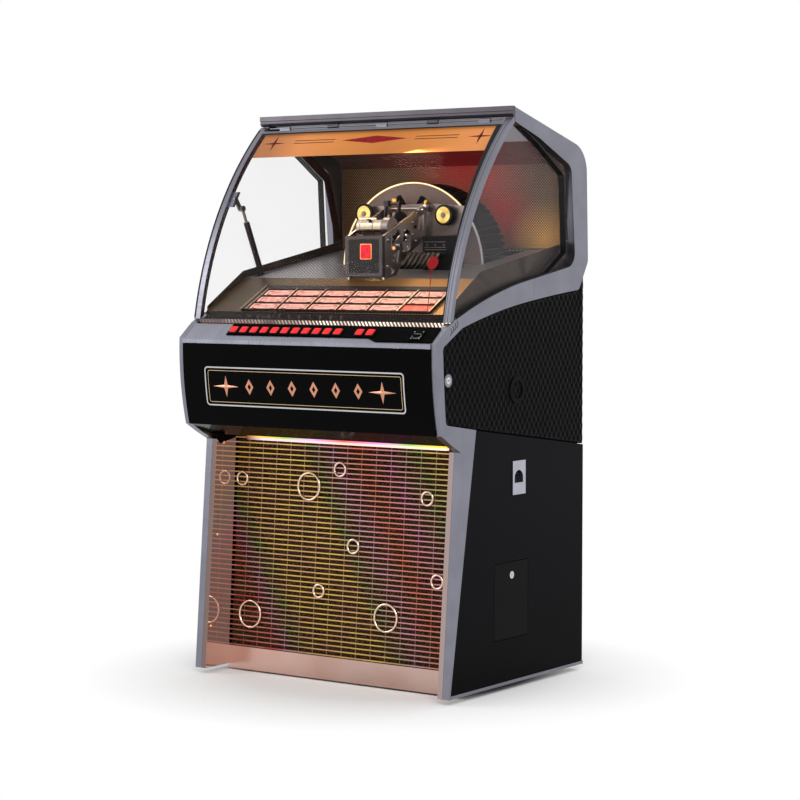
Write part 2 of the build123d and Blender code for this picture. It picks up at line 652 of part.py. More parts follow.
def make_roof_and_back():
    roof = side_face(*ROOF_OUTER, *ROOF_INNER)
    roof = rounded(roof, (ROOF_OUTER[1], ROOF_OUTER_RADIUS), (ROOF_INNER[1], ROOF_INNER_RADIUS))
    keep("roof_panel", across(roof, -INNER_SKIN_X + WINDOW_PANE, INNER_SKIN_X - WINDOW_PANE))
    trim = across(side_face(*ROOF_TRIM_PROFILE), -HALF_WIDTH, HALF_WIDTH)
    for centre in KNUCKLE_CENTRES[1::2]:
        ends = (centre - KNUCKLE_LENGTH / 2, centre + KNUCKLE_LENGTH / 2)
        web_y = (HINGE_Y, HINGE_Y + HINGE_KNUCKLE_RADIUS)
        web = block(ends, web_y, (HINGE_Z, ROOF_TRIM_PROFILE[-2][1]))
        trim += rod_x((HINGE_Y, HINGE_Z), HINGE_KNUCKLE_RADIUS, *ends) + web
    reach = HINGE_PIN_HALF_LENGTH
    trim -= rod_x((HINGE_Y, HINGE_Z), HINGE_PIN_RADIUS + HINGE_CLEARANCE, -reach, reach)
    keep("roof_trim", trim)
    rear_y = (BACK_Y - REAR_PANEL_THICKNESS, BACK_Y)
    rear = block((-INNER_BOARD_X, INNER_BOARD_X), rear_y, (BASE_BOARD_Z[0], REAR_PANEL_TOP))
    for index in range(VENT_COUNT):
        x = (index - (VENT_COUNT - 1) / 2) * VENT_PITCH
        slot_z = (VENT_LOW_Z, VENT_LOW_Z + VENT_HEIGHT)
        rear -= block((x - VENT_WIDTH / 2, x + VENT_WIDTH / 2), rear_y, slot_z)
    rear -= block(
        (INLET_PLACE[0] - INLET_WIDTH / 2, INLET_PLACE[0] + INLET_WIDTH / 2),
        (BACK_Y - REAR_PANEL_THICKNESS / 2, BACK_Y),
        (INLET_PLACE[1] - INLET_HEIGHT / 2, INLET_PLACE[1] + INLET_HEIGHT / 2),
    )
    keep("rear_panel", rear)
    wall_y = (BACK_WALL_Y, BACK_WALL_Y + BACK_WALL_THICKNESS)
    wall_x = INNER_SKIN_X - WINDOW_PANE - GAP
    keep("back_wall", block((-wall_x, wall_x), wall_y, BACK_WALL_Z))


def make_base():
    base_x = (-INNER_BOARD_X, INNER_BOARD_X)
    keep("base_board", block(base_x, (BASE_BOARD_FRONT, BACK_Y - REAR_PANEL_THICKNESS), BASE_BOARD_Z))
    feet = []
    for x in (-FOOT_X, FOOT_X):
        for y in FOOT_YS:
            pad = rod_z((x, y), FOOT_PAD_RADIUS, -FOOT_HEIGHT, -FOOT_HEIGHT + FOOT_PAD_HEIGHT)
            stem = rod_z((x, y), FOOT_STEM_RADIUS, -FOOT_HEIGHT + FOOT_PAD_HEIGHT, BASE_BOARD_Z[0])
            feet.append(pad + stem)
    keep("levelling_feet", *feet)


# Lower front


def make_surround():
    nosing = side_face(
        (0.0, 0.0), KNEE, (KNEE[0] + POST_NOSING, KNEE[1] - POST_NOSING), (POST_NOSING, 0.0)
    )
    strip = across(nosing, POST_INNER_X, INNER_SKIN_X - GAP)
    rear_low = grille_y(0.0)
    lining = side_face(
        (POST_NOSING, 0.0), (KNEE[0] + POST_NOSING, KNEE[1] - POST_NOSING),
        (GRILLE_HEAD[0], KNEE[1]), (rear_low, 0.0),
    )
    post = strip + across(lining, POST_INNER_X, INNER_BOARD_X)
    kick = side_face(
        KICK_FOOT, KICK_TOP, (KICK_TOP[0] + KICK_THICKNESS, KICK_TOP[1]),
        (KICK_FOOT[0] + KICK_THICKNESS, KICK_FOOT[1]),
    )
    keep("grille_surround", *both_sides(post), across(kick, -POST_INNER_X, POST_INNER_X))


def make_grille():
    z_low = GRILLE_FOOT[1] + BAR_HEIGHT
    z_step = (GRILLE_HEAD[1] - 2 * BAR_HEIGHT - z_low) / (BAR_COUNT - 1)
    pieces = []
    for index in range(BAR_COUNT):
        z = z_low + index * z_step
        bar = Box(2 * POST_INNER_X, BAR_DEPTH, BAR_HEIGHT)
        pieces.append(on_grille(0, z, BAR_DEPTH / 2) * bar)
    z_mid = (GRILLE_FOOT[1] + GRILLE_HEAD[1]) / 2
    rise = GRILLE_HEAD[1] - GRILLE_FOOT[1] - WIRE_DEPTH
    length = rise / math.cos(math.radians(GRILLE_TILT))
    pitch = 2 * POST_INNER_X / (WIRE_COUNT + 1)
    for index in range(WIRE_COUNT):
        x = (index + 1) * pitch - POST_INNER_X
        wire = Box(WIRE_WIDTH, WIRE_DEPTH, length)
        pieces.append(on_grille(x, z_mid, BAR_DEPTH + WIRE_DEPTH / 2) * wire)
    keep("grille", *pieces)
    rings = []
    for x, z, radius in RINGS:
        ring = Rot(90, 0, 0) * Torus(radius - RING_TUBE, RING_TUBE)
        rings.append(on_grille(x, z, -RING_TUBE) * ring)
    keep("grille_rings", *rings)


def make_speakers():
    def board_y(z):
        return grille_y(z) + SPEAKER_BOARD_OFFSET

    low, high = BASE_BOARD_Z[1], GRILLE_HEAD[1]
    face = side_face(
        (board_y(low), low), (board_y(high), high),
        (board_y(high) + SPEAKER_BOARD_THICKNESS, high), (board_y(low) + SPEAKER_BOARD_THICKNESS, low),
    )
    board = across(face, -INNER_BOARD_X, INNER_BOARD_X)
    drivers = []
    for x, z, radius in WOOFERS + TWEETERS:
        place = Pos(x, board_y(z), z) * Rot(-90 - GRILLE_TILT, 0, 0)
        board -= place * Cylinder(radius, 4 * SPEAKER_BOARD_THICKNESS)
        depth = radius * BASKET_DEPTH_SHARE
        flange_middle = SPEAKER_BOARD_THICKNESS + SPEAKER_FLANGE_THICKNESS / 2
        cone_start = SPEAKER_BOARD_THICKNESS + SPEAKER_FLANGE_THICKNESS
        magnet_middle = cone_start + depth + MAGNET_DEPTH / 2
        flange_radius = radius + SPEAKER_FLANGE_WIDTH
        flange = Pos(0, 0, flange_middle) * Cylinder(flange_radius, SPEAKER_FLANGE_THICKNESS)
        cone = Pos(0, 0, cone_start + depth / 2) * Cone(radius, radius * MAGNET_SHARE, depth)
        magnet = Pos(0, 0, magnet_middle) * Cylinder(radius * MAGNET_SHARE, MAGNET_DEPTH)
        drivers.append(place * (flange + cone + magnet))
    keep("speaker_board", board)
    keep("speakers", *drivers)
    strip_x = (-LIGHT_STRIP_HALF_WIDTH, LIGHT_STRIP_HALF_WIDTH)
    keep("light_strip", block(strip_x, LIGHT_STRIP_Y, LIGHT_STRIP_Z))


# Nose, sign, ledge and buttons


def nose_circle():
    """Centre and radius of the arc along the trims' front edges at the nose."""
    (ay, az), (by, bz), (cy, cz) = NOSE_TOP, NOSE_MID, NOSE_LOW
    det = 2 * (ay * (bz - cz) + by * (cz - az) + cy * (az - bz))
    a2, b2, c2 = ay**2 + az**2, by**2 + bz**2, cy**2 + cz**2
    y = (a2 * (bz - cz) + b2 * (cz - az) + c2 * (az - bz)) / det
    z = (a2 * (cy - by) + b2 * (ay - cy) + c2 * (by - ay)) / det
    return (y, z), math.hypot(ay - y, az - z)


def nose_band(back, front, z_range):
    """A curved slice of the nose, from back to front of the trims' edges."""
    centre, radius = nose_circle()
    low, high = z_range
    mid = (low + high) / 2

    def at(extra, z):
        return (circle_y(centre, radius + extra, z), z)

    return side_face(
        at(front, low), (at(front, mid), at(front, high)), at(back, high), (at(back, mid), at(back, low))
    )


def sign_outline(inset):
    """A bar along Y with the sign's rounded outline, drawn in by inset."""
    width = 2 * (SIGN_HALF_WIDTH - inset)
    height = SIGN_Z[1] - SIGN_Z[0] - 2 * inset
    face = RectangleRounded(width, height, SIGN_CORNER - inset)
    bar = extrude(face, amount=HALF_WIDTH, both=True)
    return Pos(0, 0, sum(SIGN_Z) / 2) * Rot(90, 0, 0) * bar


def make_nose():
    centre, radius = nose_circle()
    front_low = (circle_y(centre, radius + NOSE_FACE, NOSE_Z[0]), NOSE_Z[0])
    sheet = across(nose_band(NOSE_BACK, NOSE_FACE, NOSE_Z), -NOSE_HALF_WIDTH, NOSE_HALF_WIDTH)
    inner_x = INNER_SKIN_X - NOSE_BACK
    under = across(side_face(front_low, *NOSE_UNDER), -inner_x, inner_x)
    soffit_x = POST_INNER_X - NOSE_BACK
    soffit = block((-soffit_x, soffit_x), NOSE_SOFFIT_Y, NOSE_SOFFIT_Z)
    keep("nose_panel", sheet + under + soffit)
    wide_z = (SIGN_Z[0] - SIGN_CORNER, SIGN_Z[1] + SIGN_CORNER)
    wide_x = SIGN_HALF_WIDTH + SIGN_CORNER
    glass = across(nose_band(NOSE_FACE, NOSE_FACE + SIGN_GLASS, wide_z), -wide_x, wide_x)
    border = across(nose_band(NOSE_FACE, NOSE_FACE + SIGN_BORDER_PROUD, wide_z), -wide_x, wide_x)
    border = border & sign_outline(0.0)
    keep("sign_plate", glass & sign_outline(SIGN_BORDER), border - sign_outline(SIGN_BORDER))


def button_hole(x, clearance, n_range):
    half_x = BUTTON_WIDTH / 2 + clearance
    half_s = BUTTON_LENGTH / 2 + clearance
    return LEDGE * block((x - half_x, x + half_x), (BUTTON_S - half_s, BUTTON_S + half_s), n_range)


def make_ledge():
    ledge = LEDGE * block((-INNER_SKIN_X, INNER_SKIN_X), LEDGE_S, (-LEDGE_THICKNESS, 0.0))
    ledge += across(side_face(*LEDGE_LIP), -NOSE_HALF_WIDTH, NOSE_HALF_WIDTH)
    outline = [
        (BEZEL_LEFT, BEZEL_S[1]), (BEZEL_STEP_X[0], BEZEL_S[1]), (BEZEL_STEP_X[1], BEZEL_S[0]),
        (BEZEL_RIGHT, BEZEL_S[0]), (BEZEL_RIGHT, BEZEL_S[2]), (BEZEL_LEFT, BEZEL_S[2]),
    ]
    bezel = LEDGE * extrude(make_face(Polyline(*outline, close=True)), amount=BEZEL_THICKNESS)
    for x in BUTTON_XS:
        ledge -= button_hole(x, GAP, (-LEDGE_THICKNESS, 0.0))
        bezel -= button_hole(x, GAP, (0.0, BEZEL_THICKNESS))
    slot = LEDGE * Pos(COIN_ENTRY_X, COIN_ENTRY_S, 0) * Box(*COIN_SLOT, 4 * LEDGE_THICKNESS)
    plate = LEDGE * Pos(COIN_ENTRY_X, COIN_ENTRY_S, BEZEL_THICKNESS + COIN_ENTRY_THICKNESS / 2) * Box(
        *COIN_ENTRY_SIZE, COIN_ENTRY_THICKNESS
    )
    board_x = (BUTTON_XS[0] - SWITCH_BOARD_MARGIN, BUTTON_XS[-1] + SWITCH_BOARD_MARGIN)
    board_s = (BUTTON_S - SWITCH_BOARD_HALF, BUTTON_S + SWITCH_BOARD_HALF)
    switch_board = LEDGE * block(board_x, board_s, SWITCH_BOARD_N)
    sill = across(side_face(*SILL_LINE), -INNER_SKIN_X, INNER_SKIN_X)
    keep("keypad_ledge", ledge + sill - slot, switch_board)
    keep("keypad_bezel", bezel - slot)
    cup = block((CUP_X, LAMINATE_X), CUP_Y, CUP_Z)
    inside_y = (CUP_Y[0] + CUP_WALL, CUP_Y[1] - CUP_WALL)
    inside_z = (CUP_Z[0] + CUP_WALL, CUP_Z[1] - CUP_WALL)
    flange = block((LAMINATE_X, LAMINATE_X + COIN_PLATE_THICKNESS), COIN_PLATE_Y, COIN_PLATE_Z)
    arch_radius = (inside_y[1] - inside_y[0]) / 2
    arch_centre = (sum(inside_y) / 2, inside_z[1] - arch_radius)
    hollow = block((CUP_X + CUP_WALL, HALF_WIDTH), inside_y, (inside_z[0], arch_centre[1]))
    hollow += rod_x(arch_centre, arch_radius, CUP_X + CUP_WALL, HALF_WIDTH)
    catcher = cup + flange - (hollow & block((0.0, HALF_WIDTH), inside_y, inside_z))
    keep("coin_fittings", plate - slot, catcher)


def make_buttons():
    for number, x in enumerate(BUTTON_XS, 1):
        cap = button_hole(x, 0.0, (-LEDGE_THICKNESS - BUTTON_LIP_DEPTH, BUTTON_TOP))
        lip_n = (-LEDGE_THICKNESS - BUTTON_LIP_DEPTH - GAP / 5, -LEDGE_THICKNESS - GAP / 5)
        lip = button_hole(x, BUTTON_LIP, lip_n)
        length = lip_n[0] - BUTTON_PLUNGER_END
        plunger = LEDGE * Pos(x, BUTTON_S, BUTTON_PLUNGER_END + length / 2) * Cylinder(
            BUTTON_PLUNGER_RADIUS, length
        )
        keep(f"button_{number:02d}", cap + lip + plunger)


# Fittings on the right-hand side


def make_side_fittings():
    tube_radius = PORT_BORE_RADIUS + PORT_TUBE_WALL
    tube = rod_x(PORT_CENTRE, tube_radius, INNER_SKIN_X - PORT_DEPTH, INNER_SKIN_X)
    flange = rod_x(PORT_CENTRE, PORT_FLANGE_RADIUS, INNER_SKIN_X, HALF_WIDTH)
    port = tube + flange - rod_x(PORT_CENTRE, PORT_BORE_RADIUS, INNER_SKIN_X - PORT_DEPTH, HALF_WIDTH)
    keep("side_port", port)
    barrel = rod_x(LOCK_CENTRE, LOCK_BARREL_RADIUS, HALF_WIDTH - LOCK_DEPTH, HALF_WIDTH)
    ring = rod_x(LOCK_CENTRE, LOCK_RING_RADIUS, INNER_SKIN_X, HALF_WIDTH - GAP)
    ring -= rod_x(LOCK_CENTRE, LOCK_BARREL_RADIUS + LOCK_CLEARANCE, INNER_SKIN_X, HALF_WIDTH)
    thin, long, deep = KEY_SLOT
    key_slot = Pos(HALF_WIDTH, *LOCK_CENTRE) * Box(2 * deep, long, thin)
    keep("side_lock", barrel - key_slot)
    NODES["side_trims"].append(ring)
    leaf_x = (LAMINATE_X - DOOR_THICKNESS, LAMINATE_X)
    leaf = block(leaf_x, DOOR_Y, DOOR_Z)
    pin_y = (DOOR_Y[0] - DOOR_GAP - DOOR_PIN_REACH + GAP, DOOR_Y[1] + DOOR_GAP + DOOR_PIN_REACH - GAP)
    leaf += rod_y((DOOR_HINGE_X, DOOR_HINGE_Z), DOOR_PIN_RADIUS, *pin_y)
    bore = DOOR_LOCK_RADIUS + LOCK_CLEARANCE
    leaf -= rod_x(DOOR_LOCK_CENTRE, bore, DOOR_LOCK_BARREL_END, HALF_WIDTH)
    keep("cash_door", leaf)
    lock = rod_x(DOOR_LOCK_CENTRE, DOOR_LOCK_RADIUS, DOOR_LOCK_BARREL_END, LAMINATE_X + DOOR_LOCK_PROUD)
    width, length, thickness = DOOR_LOCK_CAM
    y, z = DOOR_LOCK_CENTRE
    cam_x = (DOOR_LOCK_BARREL_END - thickness, DOOR_LOCK_BARREL_END)
    cam = block(cam_x, (y - width / 2, y + length), (z - width / 2, z + width / 2))
    slot = Pos(HALF_WIDTH, y, z) * Box(2 * deep, thin, long)
    keep("cash_door_lock", lock + cam - slot)


# Lid and strut


def make_lid():
    inner_radius = LID_RADIUS - LID_BAR_DEPTH
    bar = lid_band(LID_RADIUS, inner_radius, LID_LOW_Z, LID_HIGH_Z, INNER_SKIN_X, HALF_WIDTH)
    bar -= block((0.0, HALF_WIDTH), (LID_REAR_LIMIT, BACK_Y), (LID_TOP_RAIL[0], ROOF_FRONT_Z))
    rails_x = (-INNER_SKIN_X, INNER_SKIN_X)
    bar -= across(side_face(*LID_UNDER), 0.0, HALF_WIDTH)
    frame = bar + mirror(bar, about=Plane.YZ)
    frame += lid_band(LID_RADIUS, inner_radius, *LID_TOP_RAIL, *rails_x)
    frame += lid_band(LID_RADIUS + LID_LOW_RAIL_PROUD, inner_radius, *LID_LOW_RAIL, *rails_x)
    frame += rod_x((HINGE_Y, HINGE_Z), HINGE_PIN_RADIUS, -HINGE_PIN_HALF_LENGTH, HINGE_PIN_HALF_LENGTH)
    for centre in KNUCKLE_CENTRES[::2]:
        ends = (centre - KNUCKLE_LENGTH / 2, centre + KNUCKLE_LENGTH / 2)
        web_y = (HINGE_Y - LID_KNUCKLE_WEB, HINGE_Y + LID_KNUCKLE_WEB)
        web = block(ends, web_y, (LID_TOP_RAIL[1] - GAP, HINGE_Z))
        frame += rod_x((HINGE_Y, HINGE_Z), HINGE_KNUCKLE_RADIUS, *ends) + web
    bracket_end = STRUT_X - STRUT_EYE_WIDTH / 2 - BRACKET_GAP
    bracket_x = (bracket_end - BRACKET_THICKNESS, bracket_end)
    root_z = STRUT_HEAD[1] + BRACKET_RISE
    root = (circle_y(LID_CENTRE, inner_radius + BRACKET_FOOT_THICKNESS / 2, root_z), root_z)
    foot_z = (root_z - BRACKET_FOOT_HALF, root_z + BRACKET_FOOT_HALF)
    foot_outer = inner_radius + BRACKET_FOOT_THICKNESS
    bracket = bar_between(root, STRUT_HEAD, BRACKET_WIDTH, *bracket_x)
    bracket += lid_band(foot_outer, inner_radius, *foot_z, -INNER_SKIN_X, bracket_end)
    bracket += rod_x(STRUT_HEAD, STRUT_PIN_RADIUS, bracket_end, bracket_end + 1)
    keep("lid_frame", frame + bracket)
    glass_inner = LID_GLASS_OUTER - LID_GLASS_THICKNESS
    glass = lid_band(LID_GLASS_OUTER, glass_inner, LID_LOW_RAIL[1], LID_TOP_RAIL[0], *rails_x)
    keep("lid_glass", glass - bracket)
    header_inner = HEADER_OUTER - HEADER_THICKNESS
    header_x = (-HEADER_HALF_WIDTH, HEADER_HALF_WIDTH)
    header = lid_band(HEADER_OUTER, header_inner, HEADER_LOW_Z, LID_TOP_RAIL[0], *header_x)
    keep("header_panel", header)


def strut_piece(radius, start, end):
    body = Cylinder(radius, end - start, align=(Align.CENTER, Align.CENTER, Align.MIN))
    return Pos(STRUT_X, *STRUT_FOOT) * Rot(STRUT_ANGLE - 90, 0, 0) * Pos(0, 0, start) * body


def make_strut():
    eye_x = (STRUT_X - STRUT_EYE_WIDTH / 2, STRUT_X + STRUT_EYE_WIDTH / 2)
    tube = strut_piece(STRUT_TUBE_RADIUS, STRUT_TUBE_START, STRUT_TUBE_END)
    tube += strut_piece(STRUT_ROD_RADIUS, 0.0, STRUT_TUBE_START)
    tube += rod_x(STRUT_FOOT, STRUT_EYE_RADIUS, *eye_x)
    tube -= rod_x(STRUT_FOOT, STRUT_PIN_RADIUS + HINGE_CLEARANCE, *eye_x)
    bore = (STRUT_ROD_START - STRUT_BORE_MARGIN, STRUT_TUBE_END + STRUT_BORE_MARGIN)
    tube -= strut_piece(STRUT_ROD_RADIUS + LOCK_CLEARANCE, *bore)
    keep("strut_tube", tube)
    rod = strut_piece(STRUT_ROD_RADIUS, STRUT_ROD_START, STRUT_LENGTH)
    rod += rod_x(STRUT_HEAD, STRUT_EYE_RADIUS, *eye_x)
    keep("strut_rod", rod)


# Deck and titles


def below_deck():
    """Everything under the deck's upper face, used to stand pieces on it."""
    under = ((DECK_REAR[0], DECK_UNDER_Z), (SKIRT_FRONT[0], DECK_UNDER_Z))
    face = side_face(SKIRT_FRONT, DECK_FOLD, DECK_REAR, *under)
    return across(face, -DECK_HALF_WIDTH, DECK_HALF_WIDTH)


def make_deck():
    sheet = side_face(
        SKIRT_FRONT, DECK_FOLD, DECK_REAR, (DECK_REAR[0], DECK_REAR[1] - DECK_THICKNESS),
        (DECK_FOLD[0], DECK_FOLD[1] - DECK_THICKNESS), (SKIRT_FRONT[0], SKIRT_FRONT[1] - DECK_THICKNESS),
    )
    deck = across(sheet, -DECK_HALF_WIDTH, DECK_HALF_WIDTH)
    reach = DRUM_PLATE_RADIUS + DRUM_OPENING_MARGIN
    opening_y = (DRUM_SHAFT_Y[0] - 2, DRUM_SHAFT_Y[1] - 2)
    deck -= block((DRUM_X - reach, DRUM_X + reach), opening_y, DECK_CUT_Z)
    deck -= block(STRUT_SLOT[:2], STRUT_SLOT[2:], DECK_CUT_Z)
    strip = side_face(*[(y, z + GAP) for y, z in BOARD_TOP], *reversed(STRIP_TOP))
    side_strip = across(strip, DECK_HALF_WIDTH, DECK_HALF_WIDTH + STRIP_THICKNESS)
    number_strip = across(side_face(*NUMBER_STRIP), -DECK_HALF_WIDTH, DECK_HALF_WIDTH)
    keep("deck", deck, *both_sides(side_strip), number_strip)


def make_titles():
    rack = SKIRT * block(RACK_X, RACK_T, (0.0, RACK_HEIGHT))
    left = RACK_X[0] + RACK_MARGIN
    column = (RACK_X[1] - left - RACK_BORDER) / RACK_COLUMNS
    row = (RACK_T[1] - RACK_T[0] - RACK_BORDER - RACK_MARGIN) / RACK_ROWS
    cards = []
    for i in range(RACK_COLUMNS):
        for j in range(RACK_ROWS):
            x = (left + RACK_BORDER + i * column, left + (i + 1) * column)
            t = (RACK_T[0] + RACK_BORDER + j * row, RACK_T[0] + (j + 1) * row)
            rack -= SKIRT * block(x, t, (RACK_BASE, RACK_HEIGHT))
            card_x = (x[0] + CARD_GAP, x[1] - CARD_GAP)
            card_t = (t[0] + CARD_GAP, t[1] - CARD_GAP)
            cards.append(SKIRT * block(card_x, card_t, (RACK_BASE, RACK_BASE + CARD_THICKNESS)))
    keep("title_rack", rack)
    keep("title_cards", *cards)


# Record drum


def make_drum():
    axis = (DRUM_X, DRUM_Z)
    plate_end = DRUM_FRONT_Y + DRUM_PLATE_THICKNESS
    drum = rod_y(axis, DRUM_PLATE_RADIUS, DRUM_FRONT_Y, plate_end)
    inner = DRUM_PLATE_RADIUS - DRUM_RIM
    drum -= rod_y(axis, inner, DRUM_FRONT_Y, DRUM_FRONT_Y + DRUM_RIM)
    drum += rod_y(axis, DRUM_HUB_RADIUS, DRUM_FRONT_Y, DRUM_REAR_PLATE_Y)
    rear_end = DRUM_REAR_PLATE_Y + DRUM_REAR_PLATE_THICKNESS
    drum += rod_y(axis, DRUM_REAR_PLATE_RADIUS, DRUM_REAR_PLATE_Y, rear_end)
    drum += rod_y(axis, DRUM_SHAFT_RADIUS, *DRUM_SHAFT_Y)
    keep("record_drum", drum)
    disc = Cylinder(RECORD_RADIUS, RECORD_THICKNESS) - Cylinder(RECORD_HOLE_RADIUS, RECORD_THICKNESS)
    first = Pos(DRUM_X, RECORD_CENTRE_Y, DRUM_Z + RECORD_RING_RADIUS) * Rot(0, 90, 0) * disc
    spin = Axis((DRUM_X, 0, DRUM_Z), (0, 1, 0))
    step = 360.0 / RECORD_COUNT
    keep("records", *[first.rotate(spin, index * step) for index in range(RECORD_COUNT)])
    bar_z = (CRADLE_LOW_Z, CRADLE_LOW_Z + CRADLE_BAR)
    cradle_x = (DRUM_X - CRADLE_HALF_WIDTH, DRUM_X + CRADLE_HALF_WIDTH)
    front_y = (DRUM_SHAFT_Y[0], DRUM_SHAFT_Y[0] + CRADLE_POST)
    rear_y = (DRUM_SHAFT_Y[1] - CRADLE_POST, DRUM_SHAFT_Y[1])
    post_z = (bar_z[0], DRUM_Z + CRADLE_TOP_REACH)
    cradle = block(cradle_x, (front_y[0], rear_y[1]), bar_z)
    cradle += block(cradle_x, front_y, post_z) + block(cradle_x, rear_y, post_z)
    cradle += block((-INNER_BOARD_X, INNER_BOARD_X), CRADLE_RAIL_Y, bar_z)
    cradle -= rod_y(axis, DRUM_SHAFT_RADIUS + SHAFT_CLEARANCE, *DRUM_SHAFT_Y)
    keep("drum_cradle", cradle)


# Play mechanism


def truss_plate(x):
    plate = across(side_face(*TRUSS_OUTLINE), x, x + TRUSS_THICKNESS) - below_deck()
    for hole in TRUSS_HOLES:
        plate -= across(side_face(*hole), x, x + TRUSS_THICKNESS)
    low, high, width = TRUSS_SLOT
    return plate - bar_between(low, high, width, x, x + TRUSS_THICKNESS)


def guide_bar(ends):
    """A slanting bar in the XZ plane, in front of the drum."""
    (x0, z0), (x1, z1) = ends
    angle = math.degrees(math.atan2(z1 - z0, x1 - x0))
    length = math.dist((x0, z0), (x1, z1))
    depth = GUIDE_Y[1] - GUIDE_Y[0]
    place = Pos((x0 + x1) / 2, (GUIDE_Y[0] + GUIDE_Y[1]) / 2, (z0 + z1) / 2)
    return place * Rot(0, -angle, 0) * Box(length, depth, GUIDE_WIDTH)


def xz_plate(points, y_low, y_high):
    face = make_face(Polyline(*[(x, 0, z) for x, z in points], close=True))
    return Pos(0, y_low, 0) * extrude(face, amount=y_high - y_low, dir=(0, 1, 0))


def make_mechanism():
    frame = truss_plate(TRUSS_X[0]) + truss_plate(TRUSS_X[1])
    inner = (TRUSS_X[0] + TRUSS_THICKNESS, TRUSS_X[1])
    for y, z, radius in CROSS_RODS:
        outer = (TRUSS_X[0] - CROSS_ROD_END, TRUSS_X[1] + TRUSS_THICKNESS + CROSS_ROD_END)
        frame += rod_x((y, z), radius, *outer)
    tie_y = (CROSS_RODS[0][0], BACK_PLATE_Y[0])
    for x in (inner[0], inner[1] - TRUSS_THICKNESS):
        frame += block((x, x + TRUSS_THICKNESS), tie_y, TIE_Z)
    frame += xz_plate(BACK_PLATE, *BACK_PLATE_Y)
    for centre in (PULLEY_LEFT, PULLEY_RIGHT):
        frame += rod_y(centre, PULLEY_SHAFT_RADIUS, PULLEY_Y[0] - PULLEY_SHAFT_PROUD, BACK_PLATE_Y[0])
    frame -= rod_x(GRIPPER_PIVOT, GRIPPER_SHAFT_RADIUS + SHAFT_CLEARANCE, TRUSS_X[0], inner[0])
    right_plate = (TRUSS_X[1], TRUSS_X[1] + TRUSS_THICKNESS)
    frame -= rod_x(TURNTABLE_CENTRE, TURNTABLE_SHAFT_RADIUS + SHAFT_CLEARANCE, *right_plate)
    frame += rod_x(TONEARM_PIVOT, TONEARM_STUB_RADIUS, inner[0], TONEARM_X[1])
    motor = rod_x(MOTOR_CENTRE, MOTOR_RADIUS, *MOTOR_X)
    keep("mech_frame", frame, motor, guide_bar(GUIDE_LEFT), guide_bar(GUIDE_RIGHT))
    keep("mech_cover", block(COVER_X, COVER_Y, COVER_Z))
    box = block(CONTROL_X, CONTROL_Y, CONTROL_Z) - below_deck()
    fins = []
    for index in range(FIN_COUNT):
        x = FIN_FIRST_X + index * FIN_PITCH
        centre_y = (FIN_Y[0] + FIN_Y[1]) / 2
        fin = Box(FIN_THICKNESS, FIN_Y[1] - FIN_Y[0], FIN_HEIGHT)
        place = Pos(x, centre_y, FIN_LOW_Z + FIN_HEIGHT / 2) * Rot(0, FIN_LEAN, 0)
        fins.append(place * fin - below_deck())
    keep("control_box", box, *fins)


def pulley(centre):
    wheel = rod_y(centre, PULLEY_RADIUS, *PULLEY_Y)
    recess = rod_y(centre, PULLEY_HUB_RADIUS, PULLEY_Y[0], PULLEY_Y[0] + PULLEY_HUB_RECESS)
    return wheel - recess - rod_y(centre, PULLEY_SHAFT_RADIUS + SHAFT_CLEARANCE, *PULLEY_Y)


def make_players():
    disc = rod_x(TURNTABLE_CENTRE, TURNTABLE_RADIUS, *TURNTABLE_X)
    shaft_x = (TURNTABLE_X[0] - TURNTABLE_SPINDLE, TRUSS_X[1] + TRUSS_THICKNESS + SHAFT_PROUD)
    keep("turntable", disc + rod_x(TURNTABLE_CENTRE, TURNTABLE_SHAFT_RADIUS, *shaft_x))
    gripper_x = (TRUSS_X[0] - SHAFT_PROUD, GRIPPER_XS[1] + GRIPPER_ARM)
    gripper = rod_x(GRIPPER_PIVOT, GRIPPER_SHAFT_RADIUS, *gripper_x)
    for x in GRIPPER_XS:
        gripper += bar_between(GRIPPER_PIVOT, GRIPPER_TIP, GRIPPER_WIDTH, x, x + GRIPPER_ARM)
    gripper += rod_x(GRIPPER_TIP, GRIPPER_BAR_RADIUS, GRIPPER_XS[0], GRIPPER_XS[1] + GRIPPER_ARM)
    head_low = [value - GRIPPER_HEAD_SIZE / 2 for value in GRIPPER_TIP]
    head_ranges = [(low, low + GRIPPER_HEAD_SIZE) for low in head_low]
    keep("gripper_arm", gripper + block(GRIPPER_HEAD_X, *head_ranges))
    arm = bar_between(TONEARM_PIVOT, TONEARM_TIP, TONEARM_WIDTH, *TONEARM_X)
    arm += rod_x(TONEARM_PIVOT, TONEARM_HUB_RADIUS, *TONEARM_X)
    arm += Pos(HEADSHELL_X, *TONEARM_TIP) * Box(*HEADSHELL)
    arm -= rod_x(TONEARM_PIVOT, TONEARM_STUB_RADIUS + SHAFT_CLEARANCE, *TONEARM_X)
    keep("tonearm", arm)
    keep("left_pulley", pulley(PULLEY_LEFT))
    keep("right_pulley", pulley(PULLEY_RIGHT))


def make_amplifier():
    top = BASE_BOARD_Z[1] + AMPLIFIER_HEIGHT
    amplifier = block(AMPLIFIER_X, AMPLIFIER_Y, (BASE_BOARD_Z[1], top))
    step = (AMPLIFIER_X[1] - AMPLIFIER_X[0] - HEAT_SINK_THICKNESS) / (HEAT_SINK_COUNT - 1)
    for index in range(HEAT_SINK_COUNT):
        x = AMPLIFIER_X[0] + index * step
        amplifier += block((x, x + HEAT_SINK_THICKNESS), AMPLIFIER_Y, (top, top + HEAT_SINK_HEIGHT))
    keep("amplifier", amplifier)


